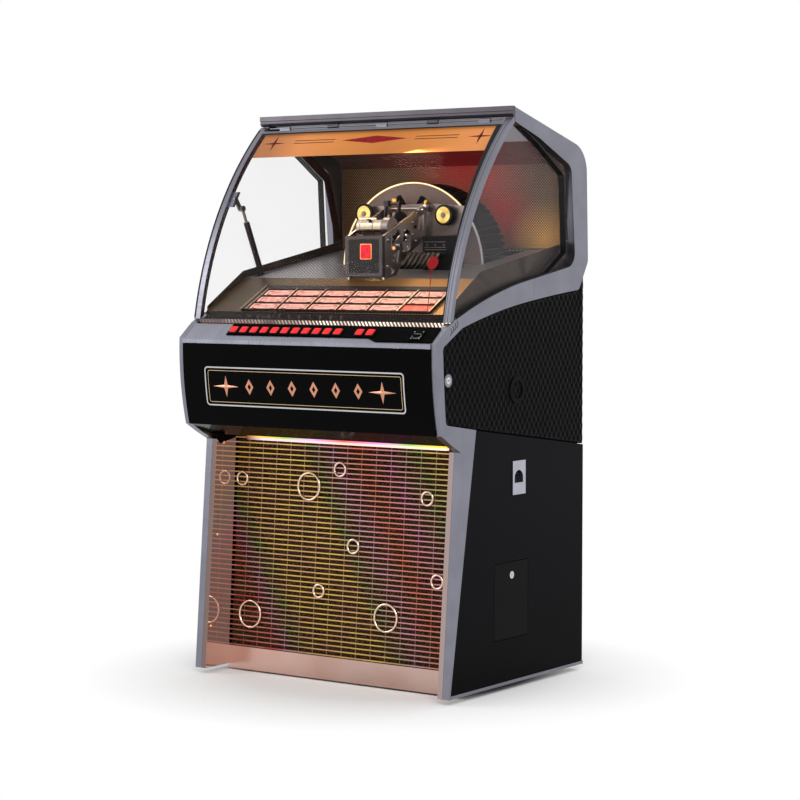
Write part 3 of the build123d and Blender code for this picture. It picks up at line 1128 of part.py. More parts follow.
def write_nodes():
    """Move every node so that the origin is the bottom centre, and write it."""
    os.makedirs("parts", exist_ok=True)
    front = NODES["sign_plate"] + NODES["nose_panel"] + NODES["keypad_ledge"]
    front_y = min(solid.bounding_box().min.Y for solid in front)
    middle_y = (front_y + FRAME_BACK_Y) / 2
    print("middle_y", middle_y)
    for name, solids in NODES.items():
        moved = [Pos(0, -middle_y, FOOT_HEIGHT) * solid for solid in solids]
        parts = [solid for shape in moved for solid in shape.solids()]
        shape = parts[0] if len(parts) == 1 else Compound(children=parts)
        export_step(shape, f"parts/{name}.step")
        print(name, len(parts))


make_sides()
make_roof_and_back()
make_base()
make_surround()
make_grille()
make_speakers()
make_nose()
make_ledge()
make_buttons()
make_side_fittings()
make_lid()
make_strut()
make_deck()
make_titles()
make_drum()
make_mechanism()
make_players()
make_amplifier()
write_nodes()
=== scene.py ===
import math

import bmesh
import bpy
from mathutils import Matrix, Vector


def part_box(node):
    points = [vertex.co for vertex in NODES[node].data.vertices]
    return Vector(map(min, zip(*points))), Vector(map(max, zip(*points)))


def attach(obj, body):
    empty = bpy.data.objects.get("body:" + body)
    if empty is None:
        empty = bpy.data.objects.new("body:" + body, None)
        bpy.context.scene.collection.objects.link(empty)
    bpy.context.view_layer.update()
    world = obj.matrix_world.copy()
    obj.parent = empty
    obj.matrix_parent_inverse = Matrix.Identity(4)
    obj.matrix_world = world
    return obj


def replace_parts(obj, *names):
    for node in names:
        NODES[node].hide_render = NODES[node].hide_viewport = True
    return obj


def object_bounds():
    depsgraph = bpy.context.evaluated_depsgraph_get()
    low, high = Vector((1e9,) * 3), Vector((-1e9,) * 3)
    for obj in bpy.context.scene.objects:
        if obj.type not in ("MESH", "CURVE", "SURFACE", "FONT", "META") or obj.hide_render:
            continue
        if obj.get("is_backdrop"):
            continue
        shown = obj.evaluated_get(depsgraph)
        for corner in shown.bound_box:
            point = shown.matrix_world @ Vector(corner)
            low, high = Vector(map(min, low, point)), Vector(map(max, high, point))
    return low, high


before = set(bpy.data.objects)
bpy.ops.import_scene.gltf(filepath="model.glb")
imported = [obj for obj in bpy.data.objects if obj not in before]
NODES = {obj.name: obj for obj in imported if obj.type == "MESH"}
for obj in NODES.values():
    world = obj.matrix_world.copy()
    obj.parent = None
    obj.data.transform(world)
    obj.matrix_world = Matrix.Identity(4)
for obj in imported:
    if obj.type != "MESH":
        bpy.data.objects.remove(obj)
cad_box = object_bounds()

MM = 0.001
REAR_FACE_Y = 636
MIDDLE_Y = REAR_FACE_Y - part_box("rear_panel")[1][1] / MM
FOOT_HEIGHT = 15

# Where one node's look changes: depths and heights in mm of the drawing, distances from a middle in metres
LINING_X = 0.3735
LINING_LOW_Z = 1000
ROOF_UNDER_Z = 1150
CEILING_SPLIT_Y = 500
RAIL_TOP_Z = 921.5
POST_X = 0.3702
LAMP_EDGE_Z = 606
HEADER_Z = (1347, 1414)
PLATFORM_Y = 180
SIDE_STRIP_X = 0.3788
NUMBER_STRIP_TOP_Z = 940.5
ENTRY_LOW_Z = 800
DRUM_CENTRE = (12, 1055)
DRUM_RIM_RADIUS = 0.2215
GUIDE_FRONT_Y = 376.6
HAIRLINE = 0.0001


def at(x, y, z):
    """A point of the drawing (mm, from the side panels' front bottom corner) in the row frame."""
    return Vector((x * MM, (y - MIDDLE_Y) * MM, (z + FOOT_HEIGHT) * MM))


# Materials


class Tree:
    """The shader nodes of a material or of the world."""

    def __init__(self, owner):
        owner.use_nodes = True
        self.nodes = owner.node_tree.nodes
        self.links = owner.node_tree.links

    def put(self, socket, value):
        if isinstance(value, bpy.types.NodeSocket):
            self.links.new(value, socket)
        elif hasattr(socket.default_value, "__len__") and len(socket.default_value) == 4:
            socket.default_value = (*value[:3], 1)
        else:
            socket.default_value = value

    def node(self, kind, inputs, **settings):
        """A new node, with its settings and its inputs by name or number."""
        node = self.nodes.new("ShaderNode" + kind)
        for key, value in settings.items():
            setattr(node, key, value)
        for key, value in inputs.items():
            self.put(node.inputs[key], value)
        return node

    def math(self, operation, first, second=0):
        return self.node("Math", {0: first, 1: second}, operation=operation).outputs[0]

    def span(self, value, low, high, first=0, last=1):
        inputs = {"Value": value, "From Min": low, "From Max": high, "To Min": first, "To Max": last}
        return self.node("MapRange", inputs).outputs["Result"]

    def background_rays(self):
        """One for the rays that see the white background: camera, mirror and glass rays."""
        path = self.nodes.new("ShaderNodeLightPath").outputs
        value = path["Is Camera Ray"]
        for name in ("Is Glossy Ray", "Is Transmission Ray"):
            value = self.math("MAXIMUM", value, path[name])
        return value


class Paint(Tree):
    """A material that is built up step by step."""

    def __init__(self, name, **sockets):
        self.material = bpy.data.materials.new(name)
        super().__init__(self.material)
        self.shader = self.nodes["Principled BSDF"]
        self.coords = self.nodes.new("ShaderNodeTexCoord").outputs["Object"]
        self.set(**sockets)

    def set(self, **sockets):
        for key, value in sockets.items():
            self.put(self.shader.inputs[key.replace("_", " ")], value)
        return self

    def mapped(self, scale=(1, 1, 1), turn=(0, 0, 0)):
        turn = [math.radians(value) for value in turn]
        return self.node("Mapping", {"Vector": self.coords, "Scale": scale, "Rotation": turn}).outputs[0]

    def noise(self, scale, detail=4, vector=None):
        inputs = {"Vector": vector or self.coords, "Scale": scale, "Detail": detail}
        return self.node("TexNoise", inputs).outputs["Fac"]

    def clouds(self, scale, detail=4, low=0.35, high=0.65):
        """Slow patches from nought to one."""
        return self.span(self.noise(scale, detail), low, high)

    def wave(self, pitch, turn=(0, 0, 0), flat=(1, 1, 1)):
        """Soft bands, one each pitch (mm), across the turned frame."""
        inputs = {"Vector": self.mapped(flat, turn), "Scale": math.pi / 10 / (pitch * MM)}
        return self.node("TexWave", inputs).outputs["Fac"]

    def dots(self, pitch, upright=False):
        """Dots where two sets of bands cross, on a level or an upright sheet."""
        turn, flat = ((0, 45, 0), (1, 0.01, 1)) if upright else ((0, 0, 45), (1, 1, 0.01))
        return self.times(*[self.wave(pitch, [sign * angle for angle in turn], flat) for sign in (1, -1)])

    def times(self, *factors):
        value = factors[0]
        for factor in factors[1:]:
            value = self.math("MULTIPLY", value, factor)
        return value

    def opposite(self, value):
        """One minus the value."""
        return self.math("SUBTRACT", 1, value)

    def axis(self, name, vector=None):
        return self.node("SeparateXYZ", {0: vector or self.coords}).outputs[name]

    def facing(self, name):
        """One component of the surface normal."""
        return self.axis(name, self.nodes.new("ShaderNodeNewGeometry").outputs["Normal"])

    def beyond(self, x, value=None):
        """One where the distance from the middle is more than x."""
        return self.math("GREATER_THAN", self.math("ABSOLUTE", value or self.axis("X")), x)

    def above(self, name, place):
        """One where a coordinate is past a place in metres, with a hairline edge."""
        return self.span(self.axis(name), place - HAIRLINE, place + HAIRLINE)

    def behind(self, y):
        return self.above("Y", at(0, y, 0).y)

    def higher(self, z):
        return self.above("Z", at(0, 0, z).z)

    def away(self, x, z):
        """The distance in metres from a point (mm) of an upright wall."""
        place = at(x, 0, z)
        side = self.math("POWER", self.math("SUBTRACT", self.axis("X"), place.x), 2)
        rise = self.math("POWER", self.math("SUBTRACT", self.axis("Z"), place.z), 2)
        return self.math("SQRT", self.math("ADD", side, rise))

    def near(self, x, z, reach):
        """A soft spot of light about a point (mm) of an upright wall."""
        return self.span(self.away(x, z), 0, reach * MM, 1, 0)

    def ramp(self, value, *stops):
        """A colour ramp: each stop is its place and a colour in 0-255 display values."""
        node = self.node("ValToRGB", {"Fac": value})
        elements = node.color_ramp.elements
        while len(elements) < len(stops):
            elements.new(0.5)
        for element, (place, *color) in zip(elements, stops):
            element.position = place
            element.color = (*rgb(*color), 1)
        return node.outputs["Color"]

    def mix(self, fac, first, second):
        node = self.node("Mix", {"Factor": fac}, data_type="RGBA")
        low, high = [socket for socket in node.inputs if socket.type == "RGBA"]
        self.put(low, first)
        self.put(high, second)
        return [socket for socket in node.outputs if socket.type == "RGBA"][0]

    def mottled(self, color, scale=9, depth=0.75):
        """The colour, with slow darker patches."""
        return self.mix(self.clouds(scale, 3), tuple(value * depth for value in color), color)

    def rough(self, noise, low, high):
        """Roughness from low to high, following a noise."""
        return self.set(Roughness=self.span(noise, 0.3, 0.7, low, high))

    def glow(self, color, strength):
        return self.set(Base_Color=color, Emission_Color=color, Emission_Strength=strength)

    def bump(self, height, strength=0.3, distance=0.001):
        inputs = {"Height": height, "Strength": strength, "Distance": distance}
        return self.set(Normal=self.node("Bump", inputs).outputs["Normal"])


def rgb(red, green, blue):
    """A linear colour from 0-255 display values."""
    def linear(value):
        value /= 255
        return value / 12.92 if value <= 0.04045 else ((value + 0.055) / 1.055) ** 2.4
    return (linear(red), linear(green), linear(blue))


def metal(name, color, rough, grain=(60, 60, 60)):
    """Brushed or cast metal: grain is how fine the streaks are along each axis."""
    paint = Paint(name, Metallic=1)
    streaks = paint.noise(1, 3, paint.mapped(grain))
    paint.set(Base_Color=paint.mottled(rgb(*color), 14, 0.88))
    paint.rough(streaks, rough - 0.05, rough + 0.05)
    return paint.bump(streaks, 0.04, 0.0004)


def plastic(name, color, rough, grain=900, strength=0.08, gloss=0.25):
    paint = Paint(name, Specular_IOR_Level=gloss)
    paint.set(Base_Color=paint.mottled(rgb(*color)))
    paint.rough(paint.noise(12), rough * 0.85, min(1, rough * 1.2))
    return paint.bump(paint.noise(grain, 2), strength, 0.0003)


def lit(name, color, edge, power):
    """A plastic that glows by itself."""
    paint = Paint(name, Roughness=0.35, Specular_IOR_Level=0.3)
    return paint.glow(paint.mix(paint.clouds(60, 2), rgb(*edge), rgb(*color)), power)


def side_laminate():
    """Black laminate outside, dark red-brown lining inside the window opening."""
    paint = Paint("side_laminate", Specular_IOR_Level=0.02)
    inside = paint.math("LESS_THAN", paint.math("ABSOLUTE", paint.axis("X")), LINING_X)
    inside = paint.times(inside, paint.higher(LINING_LOW_Z))
    lining = paint.mottled(rgb(50, 33, 28), 25)
    # painted shade: the black is darker towards the bottom and lighter higher up
    rise = paint.span(paint.axis("Z"), 0.05, 0.55)
    black = paint.mix(rise, rgb(7, 6, 8), rgb(19, 17, 22))
    paint.set(Base_Color=paint.mix(inside, black, lining))
    paint.rough(paint.noise(5), 0.2, 0.32)
    return paint.bump(paint.noise(700, 2), 0.05, 0.0003)


def roof_board():
    """Black outside, a pale ribbed lining underneath and mesh at its rear lit with painted red light; the
    underside glows faintly as painted light.
    """
    paint = Paint("roof_board", Specular_IOR_Level=0.1, Roughness=0.4)
    ribs = paint.wave(7)
    lining = paint.ramp(ribs, (0.2, 112, 112, 118), (0.6, 168, 168, 176))
    dots = paint.dots(5)
    off_middle = paint.math("ABSOLUTE", paint.math("SUBTRACT", paint.axis("X"), 0.03))
    redness = paint.span(off_middle, 0.05, 0.34, 1, 0)
    mesh = paint.mix(dots, rgb(34, 20, 17), paint.mix(redness, rgb(96, 70, 60), rgb(190, 26, 36)))
    under = paint.times(paint.math("LESS_THAN", paint.facing("Z"), -0.3), paint.higher(ROOF_UNDER_Z))
    lined = paint.mix(paint.behind(CEILING_SPLIT_Y), lining, mesh)
    # painted light: the underside glows
    paint.glow(paint.mix(under, rgb(24, 23, 26), lined), paint.times(under, 0.3))
    return paint.bump(paint.times(ribs, under), 0.3, 0.001)


def lid_trim():
    """Satin trim; on the low rail, slanting ribs with painted white-gold highlights, which also glow."""
    paint = Paint("lid_trim", Metallic=1)
    streaks = paint.noise(1, 3, paint.mapped((2, 2, 260)))
    rail = paint.opposite(paint.higher(RAIL_TOP_Z))
    ribs = paint.wave(9, (0, 35, 0))
    # painted highlight: bright white-gold glints along the ribs of the low rail, also used as glow
    shine = paint.times(ribs, paint.span(paint.noise(5, 2), 0.35, 0.6, 0.2, 1))
    gold_and_painted_light = paint.ramp(shine, (0.15, 74, 62, 60), (0.5, 150, 130, 120), (0.85, 250, 232, 205))
    paint.set(Base_Color=paint.mix(rail, paint.mottled(rgb(128, 128, 138), 14, 0.9), gold_and_painted_light))
    paint.rough(streaks, 0.28, 0.38)
    paint.set(Emission_Color=gold_and_painted_light, Emission_Strength=paint.times(rail, shine, 0.5))
    return paint.bump(paint.times(ribs, rail), 0.4, 0.001)


def pane(name, alpha, veil):
    """Thin clear glass: a faint veil over what is behind it."""
    paint = Paint(name, Roughness=0.03, Alpha=alpha, Specular_IOR_Level=0.5)
    return paint.set(Base_Color=paint.mottled(rgb(*veil), 4, 0.9))


def quilted():
    paint = Paint("quilted_vinyl", Specular_IOR_Level=0.04)
    paint.set(Base_Color=paint.mix(paint.clouds(30), rgb(2, 2, 3), rgb(5, 4, 7)))
    paint.rough(paint.noise(60), 0.36, 0.48)
    cells = paint.node("TexVoronoi", {"Vector": paint.coords, "Scale": 1500})
    return paint.bump(cells.outputs["Distance"], 0.25, 0.0004)


def copper_mirror():
    """Pinkish polished copper, darker and mirror-like on the inner faces of the posts; the left post is
    painted darker than the right as painted shade, and the front glows more towards the left as painted
    light.
    """
    paint = Paint("copper_mirror", Metallic=1)
    inner = paint.beyond(0.7, paint.facing("X"))
    front = paint.mix(paint.clouds(5, 3), rgb(182, 146, 134), rgb(196, 166, 156))
    post = paint.beyond(POST_X)
    # painted shade: the left post darker than the right
    post_shading = paint.mix(paint.above("X", 0), rgb(130, 110, 104), rgb(170, 150, 146))
    front = paint.mix(post, front, post_shading)
    paint.set(Base_Color=paint.mix(inner, front, rgb(188, 160, 146)), Emission_Color=rgb(190, 150, 138))
    # painted light: the front glows more towards the left
    left = paint.times(paint.span(paint.axis("X"), 0.05, -0.34, 0, 0.26), paint.opposite(post))
    paint.set(Emission_Strength=left)
    return paint.set(Roughness=paint.mix(inner, (0.22, 0.22, 0.22), (0.04, 0.04, 0.04)))


def speaker_cloth():
    paint = Paint("speaker_cloth", Roughness=0.9, Specular_IOR_Level=0.1)
    weave = paint.noise(420, 3)
    # painted light: the cloth glows faintly
    paint.glow(paint.ramp(weave, (0.4, 14, 9, 7), (0.52, 48, 33, 22), (0.68, 120, 88, 56)), 0.12)
    return paint.bump(weave, 0.5, 0.001)


GRILLE_FOOT = (97, 50)
GRILLE_RISE = (33, 560)
GRILLE_LEAN = math.atan2(*GRILLE_RISE)
GRILLE_BAR_DEPTH = 3
WIRE_FRONT = at(0, GRILLE_FOOT[0] + GRILLE_BAR_DEPTH, GRILLE_FOOT[1])
WIRE_FRONT = WIRE_FRONT.y - WIRE_FRONT.z * math.tan(GRILLE_LEAN)
STREAK_LEAN = 0.563
STREAK_COLORS = (
    (0.20, 172, 88, 78), (0.284, 200, 62, 60), (0.318, 196, 130, 160), (0.349, 140, 164, 92),
    (0.39, 222, 184, 84), (0.561, 226, 190, 92), (0.587, 146, 172, 96), (0.64, 206, 150, 176),
    (0.71, 226, 106, 76), (0.78, 214, 132, 168), (0.85, 140, 172, 96), (0.9, 232, 200, 92),
)


def grille_brass():
    """Brass bars that mirror the coloured light strip above them as slanting streaks."""
    paint = Paint("grille_brass", Roughness=0.3, Metallic=0.6)
    drop = paint.math("SUBTRACT", at(0, 0, 610).z, paint.axis("Z"))
    slide = paint.math("SUBTRACT", paint.axis("X"), paint.math("MULTIPLY", drop, STREAK_LEAN))
    hue = paint.ramp(paint.span(slide, -0.9, 0.4), *STREAK_COLORS)
    soft = paint.noise(1, 2, paint.mapped((18, 18, 70)))
    tone = paint.mix(paint.span(soft, 0.4, 0.62, 0, 0.75), hue, rgb(198, 140, 116))
    fade = paint.span(drop, 0, 0.56, 0.36, 0.13)
    depth = paint.math("SUBTRACT", paint.axis("Y"), paint.times(paint.axis("Z"), math.tan(GRILLE_LEAN)))
    wires = paint.span(depth, WIRE_FRONT - 2 * HAIRLINE, WIRE_FRONT + 2 * HAIRLINE)
    tone = paint.mix(wires, tone, rgb(104, 78, 80))
    paint.glow(tone, paint.times(fade, paint.span(wires, 0, 1, 1, 0.35)))
    return paint.set(Base_Color=paint.mix(0.35, tone, (0, 0, 0)))


LAMP_COLORS = (
    (0, 120, 48, 10), (0.07, 250, 190, 60), (0.2, 150, 196, 90), (0.34, 214, 160, 214),
    (0.5, 250, 96, 60), (0.68, 226, 140, 214), (0.82, 130, 190, 90), (0.95, 250, 206, 60),
)
LAMP_FACE = ((0, 90, 40, 12), (0.09, 226, 196, 206), (0.5, 252, 190, 180), (1, 244, 214, 190))


def light_bar():
    """The strip of coloured lamps under the nose: whitish face, coloured top edge."""
    paint = Paint("light_bar", Roughness=0.4)
    along = paint.span(paint.axis("X"), -0.32, 0.32)
    hue, pale = paint.ramp(along, *LAMP_COLORS), paint.ramp(along, *LAMP_FACE)
    return paint.glow(paint.mix(paint.opposite(paint.higher(LAMP_EDGE_Z)), hue, pale), 1.15)


def header_glass():
    """Back-lit orange panel."""
    paint = Paint("header_lit", Roughness=0.5, Specular_IOR_Level=0.1)
    off_middle = paint.math("ABSOLUTE", paint.math("SUBTRACT", paint.axis("X"), 0.05))
    glow = paint.ramp(
        paint.span(off_middle, 0, 0.38),
        (0, 172, 106, 52), (0.35, 184, 116, 58), (0.75, 196, 126, 74), (1, 160, 104, 68),
    )
    low, high = [at(0, 0, z).z for z in HEADER_Z]
    return paint.glow(glow, paint.times(paint.span(paint.axis("Z"), low, high, 0.8, 1.1), 0.52))


def gold_mesh():
    """Embossed gold sheet behind the records, with red and amber light on it."""
    paint = Paint("gold_mesh", Roughness=0.34, Metallic=0.6)
    dots = paint.dots(5.6, upright=True)
    gold_and_painted_light = paint.ramp(dots, (0.1, 30, 19, 12), (0.4, 88, 61, 38), (0.8, 176, 132, 84))
    red_light = paint.math("MAXIMUM", paint.near(30, 1350, 210), paint.near(150, 1205, 125))
    red_light = paint.math("MAXIMUM", red_light, paint.times(paint.near(100, 1290, 170), 0.9))
    amber = paint.near(290, 1130, 110)
    tone = paint.mix(red_light, gold_and_painted_light, paint.mix(dots, rgb(50, 2, 5), rgb(236, 34, 44)))
    paint.set(Base_Color=paint.mix(amber, tone, paint.mix(dots, rgb(70, 44, 16), rgb(252, 196, 96))))
    power = paint.math("ADD", paint.times(red_light, 0.65), paint.times(amber, 0.5))
    power = paint.math("ADD", power, 0.12)
    paint.set(Emission_Color=paint.mix(amber, tone, rgb(226, 160, 72)))
    paint.set(Emission_Strength=paint.times(power, paint.span(dots, 0.05, 0.8, 0.25, 1)))
    return paint.bump(dots, 0.5, 0.002)


def deck_sheet():
    """Ribbed gold skirt, dotted silver platform, bronze side strips and the dark number strip; the gold is
    painted darker to the left and brighter to the right as painted shading, and the sheet above the number
    strip glows faintly as painted light.
    """
    paint = Paint("deck_sheet", Roughness=0.33, Specular_IOR_Level=0.1)
    ribs, dots = paint.wave(8, (0, 0, 32)), paint.dots(8)
    platform = paint.behind(PLATFORM_Y)
    # painted shading: the gold darker to the left, brighter to the right
    gold_and_painted_light = paint.mix(paint.span(paint.axis("X"), -0.3, 0.3), rgb(100, 77, 50), rgb(222, 166, 98))
    skirt = paint.mix(paint.span(ribs, 0.25, 0.75), rgb(38, 26, 16), gold_and_painted_light)
    plate = paint.ramp(dots, (0.08, 44, 40, 41), (0.45, 176, 168, 168))
    tone = paint.mix(platform, skirt, plate)
    strip = paint.beyond(SIDE_STRIP_X)
    tone = paint.mix(strip, tone, paint.mottled(rgb(62, 51, 45), 20))
    number = paint.math("LESS_THAN", paint.axis("Z"), at(0, 0, NUMBER_STRIP_TOP_Z).z)
    tone = paint.mix(number, tone, paint.mottled(rgb(26, 15, 13), 20))
    sheet = paint.opposite(number)
    # painted light: the sheet above the number strip glows faintly
    paint.glow(tone, paint.times(sheet, 0.12)).set(Metallic=paint.times(sheet, 0.75))
    raised = paint.times(paint.mix(platform, ribs, dots), paint.opposite(strip), sheet)
    return paint.bump(raised, 0.3, 0.001)


def card_paper():
    """Pink paper lit from in front, warmer to the right."""
    paint = Paint("card_paper", Roughness=0.6, Specular_IOR_Level=0.1)
    warm = paint.mix(paint.span(paint.axis("X"), -0.26, 0.34), rgb(236, 150, 140), rgb(248, 182, 148))
    return paint.glow(paint.mix(paint.clouds(70), warm, rgb(250, 196, 178)), 0.32)


def coin_metal():
    """Satin chrome on the return plate, black gloss on the entry plate."""
    paint = Paint("coin_metal", Roughness=0.26, Specular_IOR_Level=0.02)
    entry = paint.higher(ENTRY_LOW_Z)
    paint.set(Base_Color=paint.mix(entry, paint.mottled(rgb(176, 176, 188), 30, 0.92), rgb(3, 3, 3)))
    return paint.set(Metallic=paint.opposite(entry))


def drum_plate():
    """Grey drum plate with a pale rim, painted warm and bright as a highlight on its lit side; the whole
    plate glows faintly as painted light.
    """
    paint = Paint("drum_plate", Roughness=0.4, Specular_IOR_Level=0.3)
    rim = paint.math("GREATER_THAN", paint.away(*DRUM_CENTRE), DRUM_RIM_RADIUS)
    grey = paint.mottled(rgb(92, 77, 74), 5, 0.85)
    lit_side = paint.span(paint.axis("X"), 0.16, 0.22, 1, 0)
    # painted highlight: the rim warm and bright on its lit side
    edge = paint.mix(lit_side, rgb(176, 170, 172), rgb(252, 226, 178))
    return paint.glow(paint.mix(rim, grey, edge), paint.math("ADD", paint.times(rim, lit_side, 0.5), 0.1))


def mechanism_metal():
    """Worn grey plates; the slanting guide bars behind them are black."""
    paint = Paint("mechanism_plates", Metallic=1)
    streaks = paint.noise(1, 3, paint.mapped((40, 40, 40)))
    plates = paint.mottled(rgb(150, 138, 134), 14, 0.82)
    paint.set(Base_Color=paint.mix(paint.behind(GUIDE_FRONT_Y), plates, rgb(16, 15, 16)))
    paint.rough(streaks, 0.31, 0.41)
    return paint.bump(streaks, 0.04, 0.0004)


METALS = {
    "trim": ("satin_trim", (131, 132, 143), 0.33, (2, 2, 260)),
    "roof_edge": ("roof_edge_steel", (94, 90, 96), 0.36, (2, 200, 200)),
    "ledge": ("ledge_satin", (148, 149, 161), 0.3, (300, 4, 4)),
    "chrome": ("bright_chrome", (205, 203, 205), 0.14, (30, 30, 30)),
    "ring": ("ring_chrome", (235, 205, 185), 0.12, (30, 30, 30)),
    "screw": ("screw_head", (190, 190, 190), 0.22, (60, 60, 60)),
    "copper": ("copper_inlay", (214, 152, 122), 0.3, (80, 80, 80)),
    "dark_steel": ("dark_steel", (64, 58, 60), 0.38, (60, 60, 60)),
    "bronze": ("mechanism_grey", (140, 130, 128), 0.36, (40, 40, 40)),
    # Bright strips painted along edges as highlights.
    "edge_highlight": ("edge_highlight", (238, 216, 190), 0.25, (40, 40, 40)),
    "brass": ("worn_brass", (214, 170, 84), 0.28, (60, 60, 60)),
    "cover": ("cover_bronze", (88, 80, 80), 0.36, (30, 30, 30)),
    "divider": ("gold_divider", (236, 206, 160), 0.3, (80, 80, 80)),
    "motor": ("motor_chrome", (226, 202, 176), 0.2, (4, 80, 80)),
}
PLASTICS = {
    "laminate": ("black_laminate", (11, 10, 12), 0.28, 700, 0.05, 0.03),
    "nose": ("nose_gloss", (4, 3, 4), 0.14, 40, 0.01, 0.035),
    "bezel": ("bezel_gloss", (2, 2, 2), 0.3, 60, 0.01, 0.012),
    "black": ("black_moulded", (20, 20, 21), 0.45, 700, 0.12, 0.15),
    "rubber": ("foot_rubber", (24, 24, 24), 0.75, 400, 0.2, 0.2),
    "tyre": ("pulley_tyre", (16, 15, 15), 0.6, 300, 0.1, 0.2),
    "vinyl": ("record_black", (38, 34, 34), 0.4, 30, 0.02, 0.3),
    "decal": ("red_decal", (150, 14, 20), 0.4, 200, 0.02, 0.1),
    "header_ink": ("header_ink", (92, 24, 14), 0.5, 200, 0.02, 0.1),
    "number": ("number_bronze", (112, 88, 74), 0.5, 200, 0.02, 0.2),
    "panel_dark": ("panel_dark", (44, 38, 38), 0.35, 300, 0.04, 0.2),
    "rack": ("rack_dark", (40, 28, 26), 0.35, 300, 0.04, 0.2),
    "card_red": ("card_red", (150, 40, 44), 0.6, 200, 0.02, 0.1),
    "lining": ("window_lining", (56, 36, 31), 0.5, 300, 0.06, 0.1),
    "board": ("raw_board", (60, 42, 30), 0.75, 120, 0.25, 0.2),
}
GLOWS = {
    "lens": ("red_lens", (226, 26, 46), (170, 12, 30), 0.8),
    "button": ("button_red", (240, 14, 24), (190, 6, 12), 0.8),
    # The cream pulley faces glow: painted light.
    "cream": ("pulley_cream", (240, 214, 130), (206, 176, 92), 0.25),
    # Amber glow on screw heads, a boss and the lens rim: painted glints.
    "amber": ("amber_spark", (255, 196, 120), (240, 150, 70), 0.45),
    "orange_row": ("orange_row", (226, 84, 50), (196, 60, 34), 0.6),
}


def make_materials():
    made = {key: metal(*values) for key, values in METALS.items()}
    made.update({key: plastic(*values) for key, values in PLASTICS.items()})
    made.update({key: lit(*values) for key, values in GLOWS.items()})
    made.update({
        "side": side_laminate(), "roof": roof_board(), "lid_trim": lid_trim(), "quilt": quilted(),
        "lid_pane": pane("lid_pane", 0.025, (30, 28, 30)),
        "side_pane": pane("side_pane", 0.05, (200, 198, 202)), "mirror": copper_mirror(),
        "cloth": speaker_cloth(), "bars": grille_brass(), "strip": light_bar(), "header": header_glass(),
        "mesh": gold_mesh(), "deck": deck_sheet(), "card": card_paper(), "coin": coin_metal(),
        "drum": drum_plate(), "mechanism": mechanism_metal(),
    })
    return {key: paint.material for key, paint in made.items()}


MATERIALS = make_materials()

# The nodes with each look; the buttons are black
NODES_BY_LOOK = {
    "side": "left_side_panel right_side_panel", "trim": "window_frames side_trims",
    "roof_edge": "roof_trim", "roof": "roof_panel",
    "lid_trim": "lid_frame", "side_pane": "side_windows", "lid_pane": "lid_glass",
    "laminate": "rear_panel side_port cash_door", "mesh": "back_wall", "board": "base_board speaker_board",
    "rubber": "levelling_feet", "mirror": "grille_surround", "bars": "grille", "ring": "grille_rings",
    "black": "speakers control_box turntable", "strip": "light_strip", "nose": "nose_panel sign_plate",
    "dark_steel": "amplifier strut_tube drum_cradle gripper_arm tonearm", "ledge": "keypad_ledge",
    "bezel": "keypad_bezel", "coin": "coin_fittings", "chrome": "side_lock cash_door_lock",
    "header": "header_panel", "bronze": "strut_rod", "deck": "deck", "rack": "title_rack",
    "card": "title_cards", "drum": "record_drum", "vinyl": "records", "mechanism": "mech_frame",
    "cover": "mech_cover", "tyre": "left_pulley right_pulley", "quilt": "quilt_pads",
}
NODE_LOOKS = {name: look for look, names in NODES_BY_LOOK.items() for name in names.split()}
for node_name, node in NODES.items():
    look = "black" if node_name.startswith("button_") else NODE_LOOKS[node_name]
    node.data.materials.clear()
    node.data.materials.append(MATERIALS[look])


# Mesh helpers


def linked(name, data):
    """A new object of the scene."""
    made = bpy.data.objects.new(name, data)
    bpy.context.scene.collection.objects.link(made)
    return made


def merged(shapes):
    verts, faces = [], []
    for more_verts, more_faces in shapes:
        start = len(verts)
        verts += more_verts
        faces += [[index + start for index in face] for face in more_faces]
    return verts, faces


def add(name, look, slot, shape, body="cabinet", smooth=False):
    """A dressed piece from one shape or a list of them, riding on a body."""
    verts, faces = merged(shape) if isinstance(shape, list) else shape
    mesh = bpy.data.meshes.new(name)
    mesh.from_pydata([tuple(vert) for vert in verts], [], faces)
    mesh.materials.append(MATERIALS[look])
    piece = linked(name, mesh)
    bm = bmesh.new()
    bm.from_mesh(mesh)
    bmesh.ops.recalc_face_normals(bm, faces=bm.faces)
    bm.to_mesh(mesh)
    bm.free()
    for polygon in mesh.polygons:
        polygon.use_smooth = smooth
    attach(piece, body)
    return piece


def lofted(rings, closed=False):
    """A solid through rings of equally many points, with flat ends unless it closes on itself."""
    count = len(rings[0])
    verts = [point for ring in rings for point in ring]
    faces = []
    for i in range(len(rings) if closed else len(rings) - 1):
        start, following = i * count, ((i + 1) % len(rings)) * count
        for k in range(count):
            j = (k + 1) % count
            faces.append([start + k, start + j, following + j, following + k])
    if not closed:
        faces.append(list(range(count))[::-1])
        faces.append(list(range((len(rings) - 1) * count, len(rings) * count)))
    return verts, faces


def about(value, half):
    return value - half, value + half


def box(x_range, y_range, z_range, place=at):
    """A block between two corners, in the frame that place maps from."""
    (y0, y1), (z0, z1) = y_range, z_range
    return lofted([[place(x, y, z) for y, z in ((y0, z0), (y1, z0), (y1, z1), (y0, z1))] for x in x_range])


def round_ring(centre, side, other, radius, steps):
    turns = [2 * math.pi * i / steps for i in range(steps)]
    return [centre + (side * math.cos(turn) + other * math.sin(turn)) * radius for turn in turns]


def lathe(centre, normal, profile, steps=40, closed=False):
    """Turned shape about normal: profile is (distance along, radius) pairs in mm."""
    along = Vector(normal).normalized()
    side = along.orthogonal().normalized()
    other = along.cross(side)
    turned = [(centre + along * far * MM, side, other, radius * MM, steps) for far, radius in profile]
    return lofted([round_ring(*values) for values in turned], closed)


